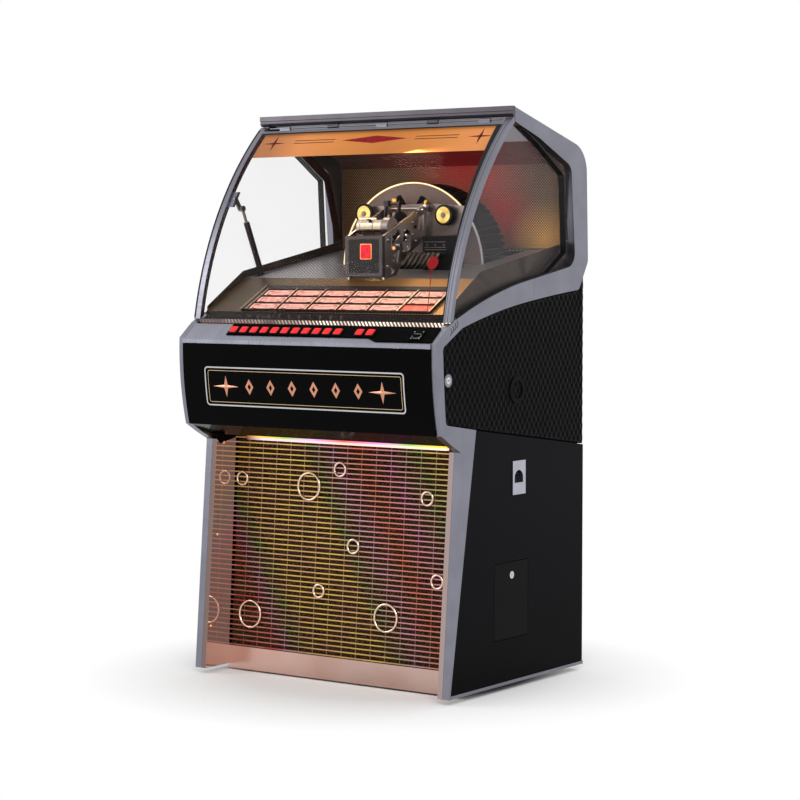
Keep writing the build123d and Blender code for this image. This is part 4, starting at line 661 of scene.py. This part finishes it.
def ring(centre, normal, inner, outer, low, high):
    """A flat ring about normal, from low to high along it, in mm."""
    return lathe(centre, normal, ((low, inner), (low, outer), (high, outer), (high, inner)), closed=True)


def tube(points, radius, steps=8):
    """A round wire along points, in mm."""
    rings = []
    normal = None
    for i, point in enumerate(points):
        before, after = points[max(i - 1, 0)], points[min(i + 1, len(points) - 1)]
        along = (after - before).normalized()
        normal = normal or along.orthogonal().normalized()
        normal = (normal - along * normal.dot(along)).normalized()
        rings.append(round_ring(point, normal, along.cross(normal), radius * MM, steps))
    return lofted(rings)


def band(path, section, sign=1):
    """A strip along a (y, z) path: section is (x, distance to the left of it) pairs."""
    rings = []
    for i, (y, z) in enumerate(path):
        before, after = path[max(i - 1, 0)], path[min(i + 1, len(path) - 1)]
        along = Vector((after[0] - before[0], after[1] - before[1])).normalized()
        rings.append([at(sign * x, y - along.y * side, z + along.x * side) for x, side in section])
    return lofted(rings)


def dial(cx, cz, radius, count, start=0, sweep=360):
    """The (x, z) points of a circle, or of an arc from start through sweep degrees."""
    turns = [math.radians(start + sweep * k / count) for k in range(count + (sweep < 360))]
    return [(cx + radius * math.cos(turn), cz + radius * math.sin(turn)) for turn in turns]


def rounded_points(half_x, half_z, corner, steps, centre):
    """A rounded rectangle about a centre."""
    (cx, cz), reach_x, reach_z = centre, half_x - corner, half_z - corner
    points = []
    for sign_x, sign_z, start in ((1, 1, 0), (-1, 1, 90), (-1, -1, 180), (1, -1, 270)):
        points += dial(cx + sign_x * reach_x, cz + sign_z * reach_z, corner, steps, start, 90)
    return points


def slope_frame(y, z, angle):
    """A mapping from (across, up the slope, out of it) to the row frame."""
    cosine, sine = math.cos(angle), math.sin(angle)

    def place(x, s, n=0):
        return at(x, y + s * cosine - n * sine, z + s * sine + n * cosine)
    return place


def curved_front(y, z, radius):
    """A mapping from (across, height, proud of it) to the front side of an arc."""
    def place(x, height, proud=0):
        return at(x, y - math.sqrt((radius + proud) ** 2 - (height - z) ** 2), height)
    return place


LEDGE = slope_frame(-57, 873, math.radians(39.2))
SKIRT = slope_frame(22, 941, math.atan2(86, 158))
NUMBER_FACE = slope_frame(19, 919, math.atan2(21, 4))

NOSE = curved_front(740.298, 844.265, 797.816)
LID = curved_front(897, 760, 909)
HEADER = curved_front(897, 760, 901)


def stacked(place, layers, closed=False):
    """A solid through (outline, height) layers, in the frame that place maps from."""
    return lofted([[place(x, s, height) for x, s in outline] for outline, height in layers], closed)


def plate(place, outline, back, front):
    return stacked(place, ((outline, back), (outline, front)))


def border(place, outer, inner, back, front):
    """A closed line between two outlines."""
    return stacked(place, ((outer, back), (outer, front), (inner, front), (inner, back)), True)


def faceted_star(place, cx, cz, half_x, half_z, waist, base, rise):
    """A four-pointed star with a ridge along each ray."""
    outline = []
    for k in range(8):
        size = waist if k % 2 else 1
        turn = math.pi * k / 4
        outline.append((cx + half_x * size * math.cos(turn), cz + half_z * size * math.sin(turn)))
    verts = [place(x, z, base + 0.4) for x, z in outline]
    verts.append(place(cx, cz, base + rise))
    verts += [place(x, z, base) for x, z in outline]
    faces = []
    for k in range(8):
        j = (k + 1) % 8
        faces += [[k, j, 8], [k, 9 + k, 9 + j, j]]
    faces.append([9 + k for k in range(8)])
    return verts, faces


def circle_through(points):
    (ay, az), (by, bz), (cy, cz) = points
    det = 2 * (ay * (bz - cz) + by * (cz - az) + cy * (az - bz))
    a2, b2, c2 = ay**2 + az**2, by**2 + bz**2, cy**2 + cz**2
    y = (a2 * (bz - cz) + b2 * (cz - az) + c2 * (az - bz)) / det
    z = (a2 * (cy - by) + b2 * (ay - cy) + c2 * (by - ay)) / det
    return (y, z), math.hypot(ay - y, az - z)


def top_of(circle, y):
    """The height of the upper side of a (y, z) circle."""
    (cy, cz), radius = circle
    return cz + math.sqrt(max(0, radius**2 - (y - cy) ** 2))


# Quilted pads

PAD_BACK_X = 385
PAD_SKIN_X = 398.2
PAD_NOSE = (-27, 861)
PAD_NOSE_BEND = -20
PAD_TOE = (-14, 675)
PAD_HEEL = (119, 656)
PAD_FRONT_TOP = (56, 907)
PAD_TOP = (385, 971)
PAD_REAR_TOP = (607, 995)
PAD_REAR = ((636, 588.5), (636, 1040))
FRONT_CROWN = circle_through((PAD_FRONT_TOP, (240, 949), PAD_TOP))
REAR_CROWN = circle_through((PAD_TOP, (480, 982.5), PAD_REAR_TOP))
DIAMOND = (22, 31)
DIAMOND_RISE = 3
PAD_RISE = 2.6
PAD_EDGE = 8
PAD_STEP = 2.4
PAD_ROWS = 200


def straight(y, first, second):
    (y0, z0), (y1, z1) = first, second
    return z0 + (z1 - z0) * (y - y0) / (y1 - y0)


def pad_range(y):
    """The lowest and highest z of the pad at this y."""
    low = straight(y, PAD_HEEL, PAD_REAR[0]) if y > PAD_HEEL[0] else straight(y, PAD_TOE, PAD_HEEL)
    high = top_of(FRONT_CROWN if y <= PAD_TOP[0] else REAR_CROWN, y)
    if y < PAD_FRONT_TOP[0]:
        high = straight(y, PAD_NOSE, PAD_FRONT_TOP)
    if y > PAD_REAR_TOP[0]:
        high = straight(y, PAD_REAR_TOP, PAD_REAR[1])
    if y < PAD_TOE[0]:
        low = PAD_TOE[1] - (y - PAD_TOE[0]) * 12
    if y < PAD_NOSE_BEND:
        high = min(high, PAD_NOSE[1] + (y - PAD_NOSE_BEND) * 8)
    return low, max(low + 1, high)


def quilt_height(y, z):
    """Puffed diamonds between pinched channels, in mm."""
    u, v = y / DIAMOND[0] + z / DIAMOND[1], y / DIAMOND[0] - z / DIAMOND[1]
    a, b = abs(math.sin(math.pi * u)), abs(math.sin(math.pi * v))
    return DIAMOND_RISE * min(a, b) ** 0.5 * (0.5 + 0.5 * max(a, b))


def make_pad(side, sign):
    rear = PAD_REAR[0][0]
    columns = [-26 + 1.2 * k for k in range(14)]
    while columns[-1] + PAD_STEP < rear:
        columns.append(columns[-1] + PAD_STEP)
    columns.append(rear)
    verts = []
    for y in columns:
        low, high = pad_range(y)
        for k in range(PAD_ROWS + 1):
            z = low + (high - low) * k / PAD_ROWS
            edge = min(z - low, high - z, y - PAD_NOSE[0], rear + 1.5 - y, PAD_EDGE) / PAD_EDGE
            rise = (quilt_height(y, z) + PAD_RISE) * max(0, edge) ** 0.5
            verts.append(at(sign * (PAD_SKIN_X + rise), y, z))
    stride, last = PAD_ROWS + 1, len(columns) - 1
    starts = [i * stride + k for i in range(last) for k in range(PAD_ROWS)]
    faces = [[a, a + 1, a + stride + 1, a + stride] for a in starts]
    border = [i * stride for i in range(last)] + [last * stride + k for k in range(PAD_ROWS)]
    border += [i * stride + PAD_ROWS for i in range(last, 0, -1)] + list(range(PAD_ROWS, 0, -1))
    back = [len(verts) + k for k in range(len(border))]
    verts += [Vector((sign * PAD_BACK_X * MM, verts[index].y, verts[index].z)) for index in border]
    for k in range(len(border)):
        j = (k + 1) % len(border)
        faces.append([border[k], border[j], back[j], back[k]])
    faces.append(back)
    piece = add(f"quilted_pad_{side}", "quilt", "quilted_vinyl", (verts, faces), smooth=True)
    return piece


make_pad("left", -1)
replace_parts(make_pad("right", 1), "quilt_pads")


# Lower front: speaker cloth, screws in the posts

CLOTH_CORNERS = ((-369, 30), (369, 30), (369, 608), (-369, 608))
CLOTH_DEPTH = 12
CLOTH_THICKNESS = Vector((0, 0.0012, 0))


def grille_point(x, z, depth):
    """A point at this depth behind the leaning front of the grille."""
    y = GRILLE_FOOT[0] + (z - GRILLE_FOOT[1]) * GRILLE_RISE[0] / GRILLE_RISE[1]
    return at(x, y + depth * math.cos(GRILLE_LEAN), z - depth * math.sin(GRILLE_LEAN))


cloth_front = [grille_point(x, z, CLOTH_DEPTH) for x, z in CLOTH_CORNERS]
cloth_shape = lofted([cloth_front, [point + CLOTH_THICKNESS for point in cloth_front]])
cloth_piece = add("speaker_cloth", "cloth", "brown_cloth", cloth_shape)

POST_INNER_X = 370
POST_SCREW_PROFILE = ((0, 3.2), (1, 3), (1.8, 1.6))
post_screws = [
    lathe(at(sign * POST_INNER_X, 51 + (z - 350) * 0.12, z), (-sign, 0, 0), POST_SCREW_PROFILE, 16)
    for z in (592, 350, 110) for sign in (-1, 1)
]
# The post screw heads glow amber: painted glints.
add("post_screws", "amber", "brass_bars", post_screws)


# Sign on the nose

SIGN_Z = 750.25
GLYPH_Z = 751
SIGN_GLASS = 6.5
SIGN_BACK = SIGN_GLASS - 0.3
LOZENGE = ((-13, 0), (0, -20), (13, 0), (0, 20))
LOZENGE_CORE = 0.42
SIGN_LINES = (
    ("sign_border_line", "chrome", 314.8, 50.5, 10.2, 3.6, 4, 8.3),
    ("sign_inner_line", "divider", 305, 41, 6, 1.1, SIGN_BACK, SIGN_GLASS + 0.4),
)
for side, x in (("left", -247), ("right", 247)):
    star = faceted_star(NOSE, x, SIGN_Z, 42, 27.5, 0.2, SIGN_BACK, 2.4)
    add(f"sign_star_{side}", "copper", "bright_chrome", star)
lozenges = []
for k in range(6):
    x = -170.3 + 68.8 * k
    outlines = [[(x + dx * size, GLYPH_Z + dz * size) for dx, dz in LOZENGE] for size in (1, LOZENGE_CORE)]
    lozenges.append(border(NOSE, *outlines, SIGN_BACK, SIGN_GLASS + 0.7))
add("sign_lozenges", "copper", "bright_chrome", lozenges)


def finer(points, parts):
    """The same outline with each of its segments cut into parts."""
    result = []
    for (x0, z0), (x1, z1) in zip(points, points[1:] + points[:1]):
        result += [(x0 + (x1 - x0) * k / parts, z0 + (z1 - z0) * k / parts) for k in range(parts)]
    return result


for name, look, half_x, half_z, corner, width, back, front in SIGN_LINES:
    outlines = []
    for inset in (0, width):
        sizes = (half_x - inset, half_z - inset, corner - inset)
        outlines.append(finer(rounded_points(*sizes, 8, (0, SIGN_Z)), 8))
    add(name, look, "bright_chrome", border(NOSE, *outlines, back, front))


# Header ornaments

for side, x in (("left", -330), ("right", 330)):
    star = faceted_star(HEADER, x, 1385, 38, 21, 0.15, -0.2, 0.9)
    add(f"header_star_{side}", "header_ink", "header", star, "lid")
lozenge = [(-105, 1387), (0, 1377), (105, 1387), (0, 1397)]
add("header_lozenge", "decal", "header", plate(HEADER, lozenge, -0.2, 0.5), "lid")
header_lines = [
    plate(HEADER, [(low, z), (high, z), (high, z + 1.6), (low, z + 1.6)], -0.2, 0.4)
    for low, high in ((-262, -130), (130, 262)) for z in (1383, 1390)
]
add("header_lines", "header_ink", "header", header_lines, "lid")


# Lid seals and the red disc on the lid glass

GLASS = -2
GLASS_BACK = GLASS - 0.2


def lid_strip(x_range, z_range, steps, back, front, widen=0):
    """A strip up the lid's curve, its low-x edge moving inwards by widen at the top."""
    rings = []
    for k in range(steps + 1):
        z = z_range[0] + (z_range[1] - z_range[0]) * k / steps
        low, high = x_range[0] - widen * (k / steps) ** 2, x_range[1]
        corners = ((low, back), (high, back), (high, front), (low, front))
        rings.append([LID(x, z, proud) for x, proud in corners])
    return lofted(rings)


seals = [
    lid_strip((381.5, 385), (921, 1414), 40, GLASS_BACK, GLASS + 1.6, 13),
    lid_strip((-405, -400.5), (924, 1425), 40, -0.3, 0.6),
    lid_strip((-385, 385), (1410.5, 1414), 2, GLASS_BACK, GLASS + 1.5),
    lid_strip((-385, 385), (920.8, 923), 2, GLASS_BACK, GLASS + 1.5),
]
seals += [lid_strip((x, x + 0.9), (924, 1425), 40, -0.3, 0.3) for x in (388, 396)]
add("lid_seals", "black", "black_plastic", seals, "lid")

STEM = ((324.5, 1052), (327.5, 1052), (334, 945), (332.5, 945))
disc = plate(LID, dial(326, 1067, 16, 30), GLASS_BACK, GLASS + 0.5)
add("lid_disc", "decal", "red_buttons", [disc, plate(LID, STEM, GLASS_BACK, GLASS + 0.4)], "lid")


# Keypad

BUTTON_PLACES = (0, 1, 2, 3, 4, 5, 6, 7, 8, 9, 10, 12, 13)
BUTTON_FIRST_X = -238.2
BUTTON_PITCH = 33.36
BUTTON_S = 30
# Half width, half height, corner radius and distance from the surface, for each layer
CAP_LAYERS = ((13, 12, 3.5, 0.6), (12.8, 11.8, 3.5, 5.6), (12.2, 11.2, 3.5, 6.4))
LENS_LAYERS = ((10.4, 10.2, 3.4, 6.2), (10.2, 10, 3.4, 7.2), (9.2, 9, 3, 7.8), (7, 6.8, 2.6, 8))


def cushion(place, centre, steps, layers, closed=False):
    """A solid through rounded rectangles about one centre."""
    outlines = [(rounded_points(*sizes, steps, centre), height) for *sizes, height in layers]
    return stacked(place, outlines, closed)


for number, place in enumerate(BUTTON_PLACES, 1):
    x = BUTTON_FIRST_X + BUTTON_PITCH * place
    body = f"button_{number:02d}"
    cap, lens = [cushion(LEDGE, (x, BUTTON_S), 4, layers) for layers in (CAP_LAYERS, LENS_LAYERS)]
    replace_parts(add(f"cap_{number:02d}", "black", "black_plastic", cap, body), body)
    add(f"cap_lens_{number:02d}", "button", "red_buttons", lens, body)

ENTRY = (338, 25)
ENTRY_N = 4.7
ENTRY_SCREWS = ((-13, 12), (13, 12), (-12, -12), (12, -12))
ENTRY_SCREW_LAYERS = ((4.3, 1.6), (5, 1.5), (5.4, 0.8))
entry_screws = [
    stacked(LEDGE, [(dial(ENTRY[0] + dx, ENTRY[1] + ds, radius, 12), n) for n, radius in ENTRY_SCREW_LAYERS])
    for dx, ds in ENTRY_SCREWS
]
add("coin_entry_screws", "screw", "bright_chrome", entry_screws)
rim_path = [LEDGE(x, s, ENTRY_N) for x, s in dial(ENTRY[0], ENTRY[1] + 3, 15, 12, 200, 140)]
slot_path = [LEDGE(ENTRY[0] + dx, ENTRY[1] + 4, ENTRY_N) for dx in (-12, -4, 4, 12)]
add("coin_entry_rim", "screw", "bright_chrome", [tube(rim_path, 0.5), tube(slot_path, 0.4)])


# Trims: chevron ribs, window gaskets and linings

CHEVRON = ((0, 0), (6, 9.5), (2, 18))
CHEVRON_PLACES = [(4 + 9 * k, 890 + 6.2 * k) for k in range(4)]
chevrons = [
    tube([at(x, y + dy, z + dz) for dy, dz in CHEVRON], 0.9) for y, z in CHEVRON_PLACES for x in (-405, 405)
]
add("band_chevrons", "dark_steel", "satin_metal", chevrons)

# The window's (y, z) corners with their radii, and the points of its lower edge
WINDOW_UPPER = ((588, 1062, 38), (566, 1318, 34), (408, 1385, 12), (300, 1425, 2))
LINING_START = (588, 1126, 0)
SILL_ARC = circle_through(((10, 921), (238, 997.5), (385, 1026.5)))
WINDOW_LOW = [(y, top_of(SILL_ARC, y), 0) for y in (40, 120, 238, 310)] + [(385, 1026.5, 0), (460, 1040, 0)]
GASKET_SECTION = ((384.6, -1), (402, -1), (402, 2.2), (384.6, 2.2))
LINING_SECTION = ((379.6, -27), (380.7, -27), (380.7, 1.5), (379.6, 1.5))


def filleted(points):
    """The (y, z) points of a bent line, its corners rounded by their third number."""
    result = []
    for i, (y, z, radius) in enumerate(points):
        corner = Vector((y, z))
        if i in (0, len(points) - 1) or radius < 1:
            result.append(corner)
            continue
        before = (Vector(points[i - 1][:2]) - corner).normalized()
        after = (Vector(points[i + 1][:2]) - corner).normalized()
        half = before.angle(after) / 2
        reach = radius / math.tan(half)
        centre = corner + (before + after).normalized() * radius / math.sin(half)
        first, last = corner + before * reach - centre, corner + after * reach - centre
        result += [centre + first.slerp(last, k / 8) for k in range(9)]
    return result


whole_edge = filleted([*WINDOW_LOW, *WINDOW_UPPER])
upper_edge = filleted([LINING_START, *WINDOW_UPPER[1:]])
gaskets = [band(whole_edge, GASKET_SECTION, sign) for sign in (-1, 1)]
add("window_gaskets", "black", "black_plastic", gaskets)
linings = [band(upper_edge, LINING_SECTION, sign) for sign in (-1, 1)]
add("window_linings", "lining", "black_laminate", linings)


# Title cards, dividers and the number strip

RACK_X = (-262, 333)
RACK_T = (1, 125)
RACK_BORDER = 3
RACK_MARGIN = 16
CARDS_LEFT = RACK_X[0] + RACK_MARGIN
COLUMNS = 6
ROWS = 3
CARD_TOP = 4.5
RACK_TOP = 8
COLUMN_PITCH = (RACK_X[1] - CARDS_LEFT - RACK_BORDER) / COLUMNS
ROW_PITCH = (RACK_T[1] - RACK_T[0] - RACK_BORDER - RACK_MARGIN) / ROWS
CARD_WIDTH, CARD_HEIGHT = COLUMN_PITCH - RACK_BORDER - 2, ROW_PITCH - RACK_BORDER - 2


def printed(across, upward, rise=0.3):
    return box(across, upward, (CARD_TOP - 0.1, CARD_TOP + rise), SKIRT)


def card_marks(left, right, low, high):
    """Two brackets and two lines, printed on one card."""
    middle = (low + high) / 2
    shapes = []
    for x, sign in ((left + 10, 1), (right - 10, -1)):
        for away in (-9, 9):
            shapes.append(printed(sorted((x, x + sign * 13)), about(middle + away, 1.1)))
        shapes.append(printed(about(x, 1.1), about(middle, 9)))
    shapes += [printed((left + 20, right - 20), about(middle + away, 0.5), 0.25) for away in (-3.5, 3.5)]
    return shapes


marks = []
for i in range(COLUMNS):
    for j in range(ROWS):
        left = CARDS_LEFT + RACK_BORDER + i * COLUMN_PITCH + 1
        low = RACK_T[0] + RACK_BORDER + j * ROW_PITCH + 1
        marks += card_marks(left, left + CARD_WIDTH, low, low + CARD_HEIGHT)
add("card_marks", "card_red", "card_paper", marks)

dividers = []
for i in range(COLUMNS + 1):
    x = CARDS_LEFT + i * COLUMN_PITCH
    long = (RACK_T[0], RACK_T[1] - RACK_MARGIN)
    dividers.append(box((x + 0.4, x + RACK_BORDER - 0.4), long, (RACK_TOP - 0.5, RACK_TOP + 0.7), SKIRT))
dividers.append(box((RACK_X[0], RACK_X[0] + 2), RACK_T, (RACK_TOP - 0.5, RACK_TOP + 0.9), SKIRT))
add("rack_dividers", "divider", "silver_deck", dividers)
last_x = (RACK_X[1] - COLUMN_PITCH + 1, RACK_X[1] - RACK_BORDER - 1)
last_t = (RACK_T[0] + RACK_BORDER + 1, RACK_T[0] + ROW_PITCH - 1)
credit = box(last_x, last_t, (CARD_TOP + 0.3, CARD_TOP + 0.6), SKIRT)
add("credit_window", "orange_row", "card_paper", credit)

DIGIT_STROKES = {
    "1": "bc", "2": "abged", "3": "abgcd", "4": "fgbc", "5": "afgcd", "6": "afgecd", "7": "abc",
    "8": "abcdefg", "9": "abcdfg", "0": "abcdef",
}
STROKE_BOXES = {
    "a": (0, 1, 2, 2), "b": (1, 1, 1, 2), "c": (1, 1, 0, 1), "d": (0, 1, 0, 0), "e": (0, 0, 0, 1),
    "f": (0, 0, 1, 2), "g": (0, 1, 1, 1),
}
DIGIT_WIDTH = 4.6
DIGIT_HALF = 4
DIGIT_LOW = 7
STROKE = 0.6


def digit_shapes(text, x, s):
    """A plain seven-stroke numeral on the number strip."""
    shapes = []
    for stroke in DIGIT_STROKES[text]:
        x0, x1, s0, s1 = STROKE_BOXES[stroke]
        across = (x + x0 * DIGIT_WIDTH - STROKE, x + x1 * DIGIT_WIDTH + STROKE)
        upward = (s + s0 * DIGIT_HALF - STROKE, s + s1 * DIGIT_HALF + STROKE)
        shapes.append(box(across, upward, (-0.2, 0.35), NUMBER_FACE))
    return shapes


numerals = []
for place, text in enumerate("1234567890"):
    numerals += digit_shapes(text, BUTTON_FIRST_X + BUTTON_PITCH * place - 2, DIGIT_LOW)
add("strip_numerals", "number", "silver_deck", numerals)


# Play mechanism

TRUSS_X = (-28, 83)
TRUSS_THICKNESS = 4
RIGHT_FACE_X = TRUSS_X[1] + TRUSS_THICKNESS
TRUSS_TOP = ((171.5, 1024), (171.5, 1136.5), (362, 1223.8), (371, 1223.8))
TRUSS_LIP = ((297, 1098), (249, 1068), (228.5, 1040))
HOLE_OUTLINES = (
    ((203, 1107), (203, 1144), (238, 1154), (243, 1138)),
    ((212, 1087), (238, 1100), (229, 1066)),
    ((326, 1151), (328, 1186), (349, 1195), (345, 1151)),
)
SCREW_PLACES = (
    (188, 1126), (186, 1058), (262, 1150), (296, 1140), (258, 1096), (314, 1124),
    (344, 1208), (318, 1196), (300, 1172), (268, 1124), (276, 1106),
)
SCREW_PROFILE = ((0, 3.4), (1.6, 3.2), (2.4, 2))
BOSSES = (
    (268, 1136, ((0, 5), (5, 5), (6, 4))), (352, 1214, ((0, 6), (7, 6), (8, 4.5))),
    (334, 1204, ((0, 3.6), (9, 3.6), (10, 2.6))), (232, 1112, ((0, 4.4), (6, 4.4), (7, 3.2))),
)


def truss_strips(path, proud, half):
    """Thin raised strips along a (y, z) path, on both truss plates."""
    strips = []
    for x in TRUSS_X:
        low, high = x - proud, x + TRUSS_THICKNESS + proud
        strips.append(band(path, ((low, -half), (high, -half), (high, half), (low, half))))
    return strips


def boss(y, z, profile, steps=18):
    """A turned piece on the right truss plate."""
    return lathe(at(RIGHT_FACE_X, y, z), (1, 0, 0), profile, steps)


# painted highlight: bright strips along the top edges of both truss plates
add("truss_edges", "edge_highlight", "bronze_steel", truss_strips(TRUSS_TOP, 0.4, 0.9))
add("truss_lips", "bronze", "bronze_steel", truss_strips(TRUSS_LIP, 0.3, 0.7))
hole_rims = []
for outline in HOLE_OUTLINES:
    corners = [at(RIGHT_FACE_X, y, z) for y, z in outline]
    hole_rims += [tube(pair, 0.8, 6) for pair in zip(corners, corners[1:] + corners[:1])]
add("truss_hole_rims", "bronze", "bronze_steel", hole_rims)
screws = [boss(y, z, SCREW_PROFILE, 14) for y, z in SCREW_PLACES]
screws += [lathe(at(TRUSS_X[0], y, z), (-1, 0, 0), SCREW_PROFILE, 14) for y, z in SCREW_PLACES[:6]]
add("truss_screws", "screw", "bronze_steel", screws)
add("truss_bosses", "chrome", "bronze_steel", [boss(*place) for place in BOSSES])
# painted glint: a small boss that glows amber
add("truss_spark", "amber", "brass_bars", boss(212, 1104, ((0, 5), (3, 4.6), (5, 2.5))))

MOTOR_PROFILE = (
    (-15, 20), (-14, 24.2), (-6, 24.2), (-5.5, 23.6), (-4, 23.6), (-3.5, 24.6), (34, 24.6),
    (34.5, 23.6), (37, 23.6), (37.5, 24.6), (62, 24.6), (63, 22), (80, 22), (82.5, 21),
)
add("motor_shell", "motor", "bright_chrome", lathe(at(0, 214, 1160), (1, 0, 0), MOTOR_PROFILE, 48))
terminals = [box((44, 60), (196, 206), (1178, 1186)), box((20, 28), (186, 196), (1176, 1180))]
add("motor_terminals", "black", "dark_steel", terminals)

# Front of the cover, in layers like those of the button caps
COVER_FACE_Y = 162
COVER_CENTRE = (29.5, 1083)
LENS_CENTRE = (36.5, 1095.5)
FRAME_LAYERS = (
    (59.5, 53, 6, -1), (59.5, 53, 6, 1), (57.5, 51, 5, 2), (50, 44, 6, 2), (48, 42, 5, 0.6), (48, 42, 5, -1),
)
COVER_PIECES = (
    ("frame", "cover", "bronze_steel", COVER_CENTRE, 5, FRAME_LAYERS, True),
    ("panel", "panel_dark", "black_plastic", COVER_CENTRE, 5, ((48.5, 42.5, 5, 0), (48.5, 42.5, 5, 0.5))),
    ("lens", "lens", "red_buttons", LENS_CENTRE, 3, ((16, 18, 3, 0.4), (16, 18, 3, 2), (13, 15, 2, 3.2))),
    # the lens rim glows amber: painted glint
    ("lens_rim", "amber", "brass_bars", LENS_CENTRE, 3, ((18, 20, 3, 0.4), (18, 20, 3, 1.3))),
)


def before_cover(x, z, forward):
    return at(x, COVER_FACE_Y - forward, z)


for part, look, slot, *shape in COVER_PIECES:
    add(f"cover_{part}", look, slot, cushion(before_cover, *shape))

FORWARD = (0, -1, 0)
for side, x, z in (("left", -110, 1197), ("right", 146, 1191)):
    centre, body = at(x, 354, z), f"{side}_pulley"
    face = [ring(centre, FORWARD, 6, 21, -0.2, 0.8), ring(centre, FORWARD, 18.5, 21.2, 0.6, 2.2)]
    for ends in zip(dial(x, z, 8, 20), dial(x, z, 19.5, 20)):
        face.append(tube([at(px, 353, pz) for px, pz in ends], 0.7, 6))
    # the cream faces glow: painted light
    add(f"{body}_face", "cream", "pulley_cream", face, body)
    add(f"{body}_hub", "bronze", "bronze_steel", ring(centre, FORWARD, 4.4, 7, 0.2, 3.4), body)

BLOCK = (-17.7, 1229.2)
brass = [
    box(about(BLOCK[0], 7), (362, 376.5), about(BLOCK[1], 7)),
    lathe(at(BLOCK[0], 362, BLOCK[1]), FORWARD, ((-0.2, 3.6), (2, 3.4), (3, 2)), 16),
    lathe(at(84, 362, 1226), FORWARD, ((-14.5, 5), (2, 5), (3, 3.6)), 16),
]
add("guide_blocks", "brass", "brass_bars", brass)

FIN_LEAN = math.radians(38)
FIN_SINE, FIN_COSINE = math.sin(FIN_LEAN), math.cos(FIN_LEAN)
# painted highlights: bright strips along the edges of the fins
fin_edges = []
for x in range(96, 187, 15):
    for side, radius in ((-2.5, 0.4), (2.5, 0.75)):
        fin_edges.append(tube([
            at(x + far * FIN_SINE + side * FIN_COSINE, 250, 1072 + far * FIN_COSINE - side * FIN_SINE)
            for far in (-12, 26)
        ], radius, 6))
add("fin_edges", "edge_highlight", "brass_bars", fin_edges)

panel_lines = [box((124, 190), (299.2, 300.4), (z, z + 1.6)) for z in (1100, 1106, 1120)]
panel_lines += [lathe(at(x, 300, 1113), FORWARD, ((-0.2, 2.2), (1.2, 2)), 12) for x in (132, 158, 184)]
add("control_box_lines", "bronze", "bronze_steel", panel_lines)


# Camera, lights and stage

AZIMUTH, ELEVATION = math.radians(35.328), math.radians(3.457)
FOCAL_PIXELS = 2300.32
PICTURE_PIXELS = 800
SENSOR = 36
CAMERA_PLACE = (3523.96, -4607.69, 1071.40)
FLOOR_REACH = 30
WORLD_LEVEL = 0.55
LAMPS = (
    ("key", (3, -3.4, 3.4), (0, 0, 0.8), (2.4, 2.4), 110, (1, 1, 1)),
    ("fill", (-3.6, -2.6, 2.4), (0, 0, 0.8), (2.4, 2.4), 60, (1, 1, 1)),
    ("rim", (0.6, 3.6, 3.2), (0, 0, 0.9), (3, 2), 60, (1, 1, 1)),
    ("header_light", at(0, 250, 1345), at(30, 330, 1100), (0.5, 0.06), 0.9, (1, 0.82, 0.66)),
)


def make_camera():
    level = math.cos(ELEVATION)
    back = Vector((math.sin(AZIMUTH) * level, -math.cos(AZIMUTH) * level, math.sin(ELEVATION)))
    right = Vector((math.cos(AZIMUTH), math.sin(AZIMUTH), 0))
    data = bpy.data.cameras.new("camera")
    data.sensor_width = SENSOR
    data.lens = FOCAL_PIXELS / PICTURE_PIXELS * SENSOR
    data.clip_end = 80
    camera = linked("camera", data)
    rotation = Matrix((right, back.cross(right), back)).transposed().to_4x4()
    camera.matrix_world = Matrix.Translation(at(*CAMERA_PLACE)) @ rotation
    bpy.context.scene.camera = camera


def make_lamp(name, place, target, size, power, color):
    data = bpy.data.lights.new(name, "AREA")
    data.shape = "RECTANGLE"
    data.size, data.size_y = size
    data.energy = power
    data.color = color
    lamp = linked(name, data)
    lamp.location = place
    lamp.rotation_euler = (Vector(target) - Vector(place)).to_track_quat("-Z", "Y").to_euler()


def make_world():
    world = bpy.data.worlds.new("studio")
    bpy.context.scene.world = world
    sky = Tree(world)
    background = sky.nodes["Background"]
    sky.put(background.inputs["Strength"], sky.span(sky.background_rays(), 0, 1, WORLD_LEVEL, 1))
    sky.put(background.inputs["Color"], (1, 1, 1))


def make_floor():
    """A pale floor that takes the shadow near the object and turns white further off."""
    mesh = bpy.data.meshes.new("floor")
    corners = ((-1, -1), (1, -1), (1, 1), (-1, 1))
    mesh.from_pydata([(x * FLOOR_REACH, y * FLOOR_REACH, 0) for x, y in corners], [], [(0, 1, 2, 3)])
    floor = linked("floor", mesh)
    paint = Paint("floor_white", Roughness=0.9, Specular_IOR_Level=0)
    paint.set(Base_Color=paint.mix(paint.noise(2), (0.88, 0.88, 0.88), (0.91, 0.91, 0.91)))
    side, depth = paint.axis("X"), paint.axis("Y")
    away = paint.math("SQRT", paint.math("ADD", paint.times(side, side), paint.times(depth, depth)))
    seen = paint.times(paint.span(away, 0.38, 0.8), paint.background_rays())
    white = paint.nodes.new("ShaderNodeEmission").outputs[0]
    mixed = paint.node("MixShader", {0: seen, 1: paint.shader.outputs[0], 2: white})
    paint.put(paint.nodes["Material Output"].inputs["Surface"], mixed.outputs[0])
    mesh.materials.append(paint.material)
    floor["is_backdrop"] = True


make_camera()
make_world()
make_floor()
for lamp in LAMPS:
    make_lamp(*lamp)

bpy.context.scene.view_settings.view_transform = "Standard"

sizes = {"cad": [list(corner) for corner in cad_box], "visual": [list(corner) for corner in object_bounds()]}
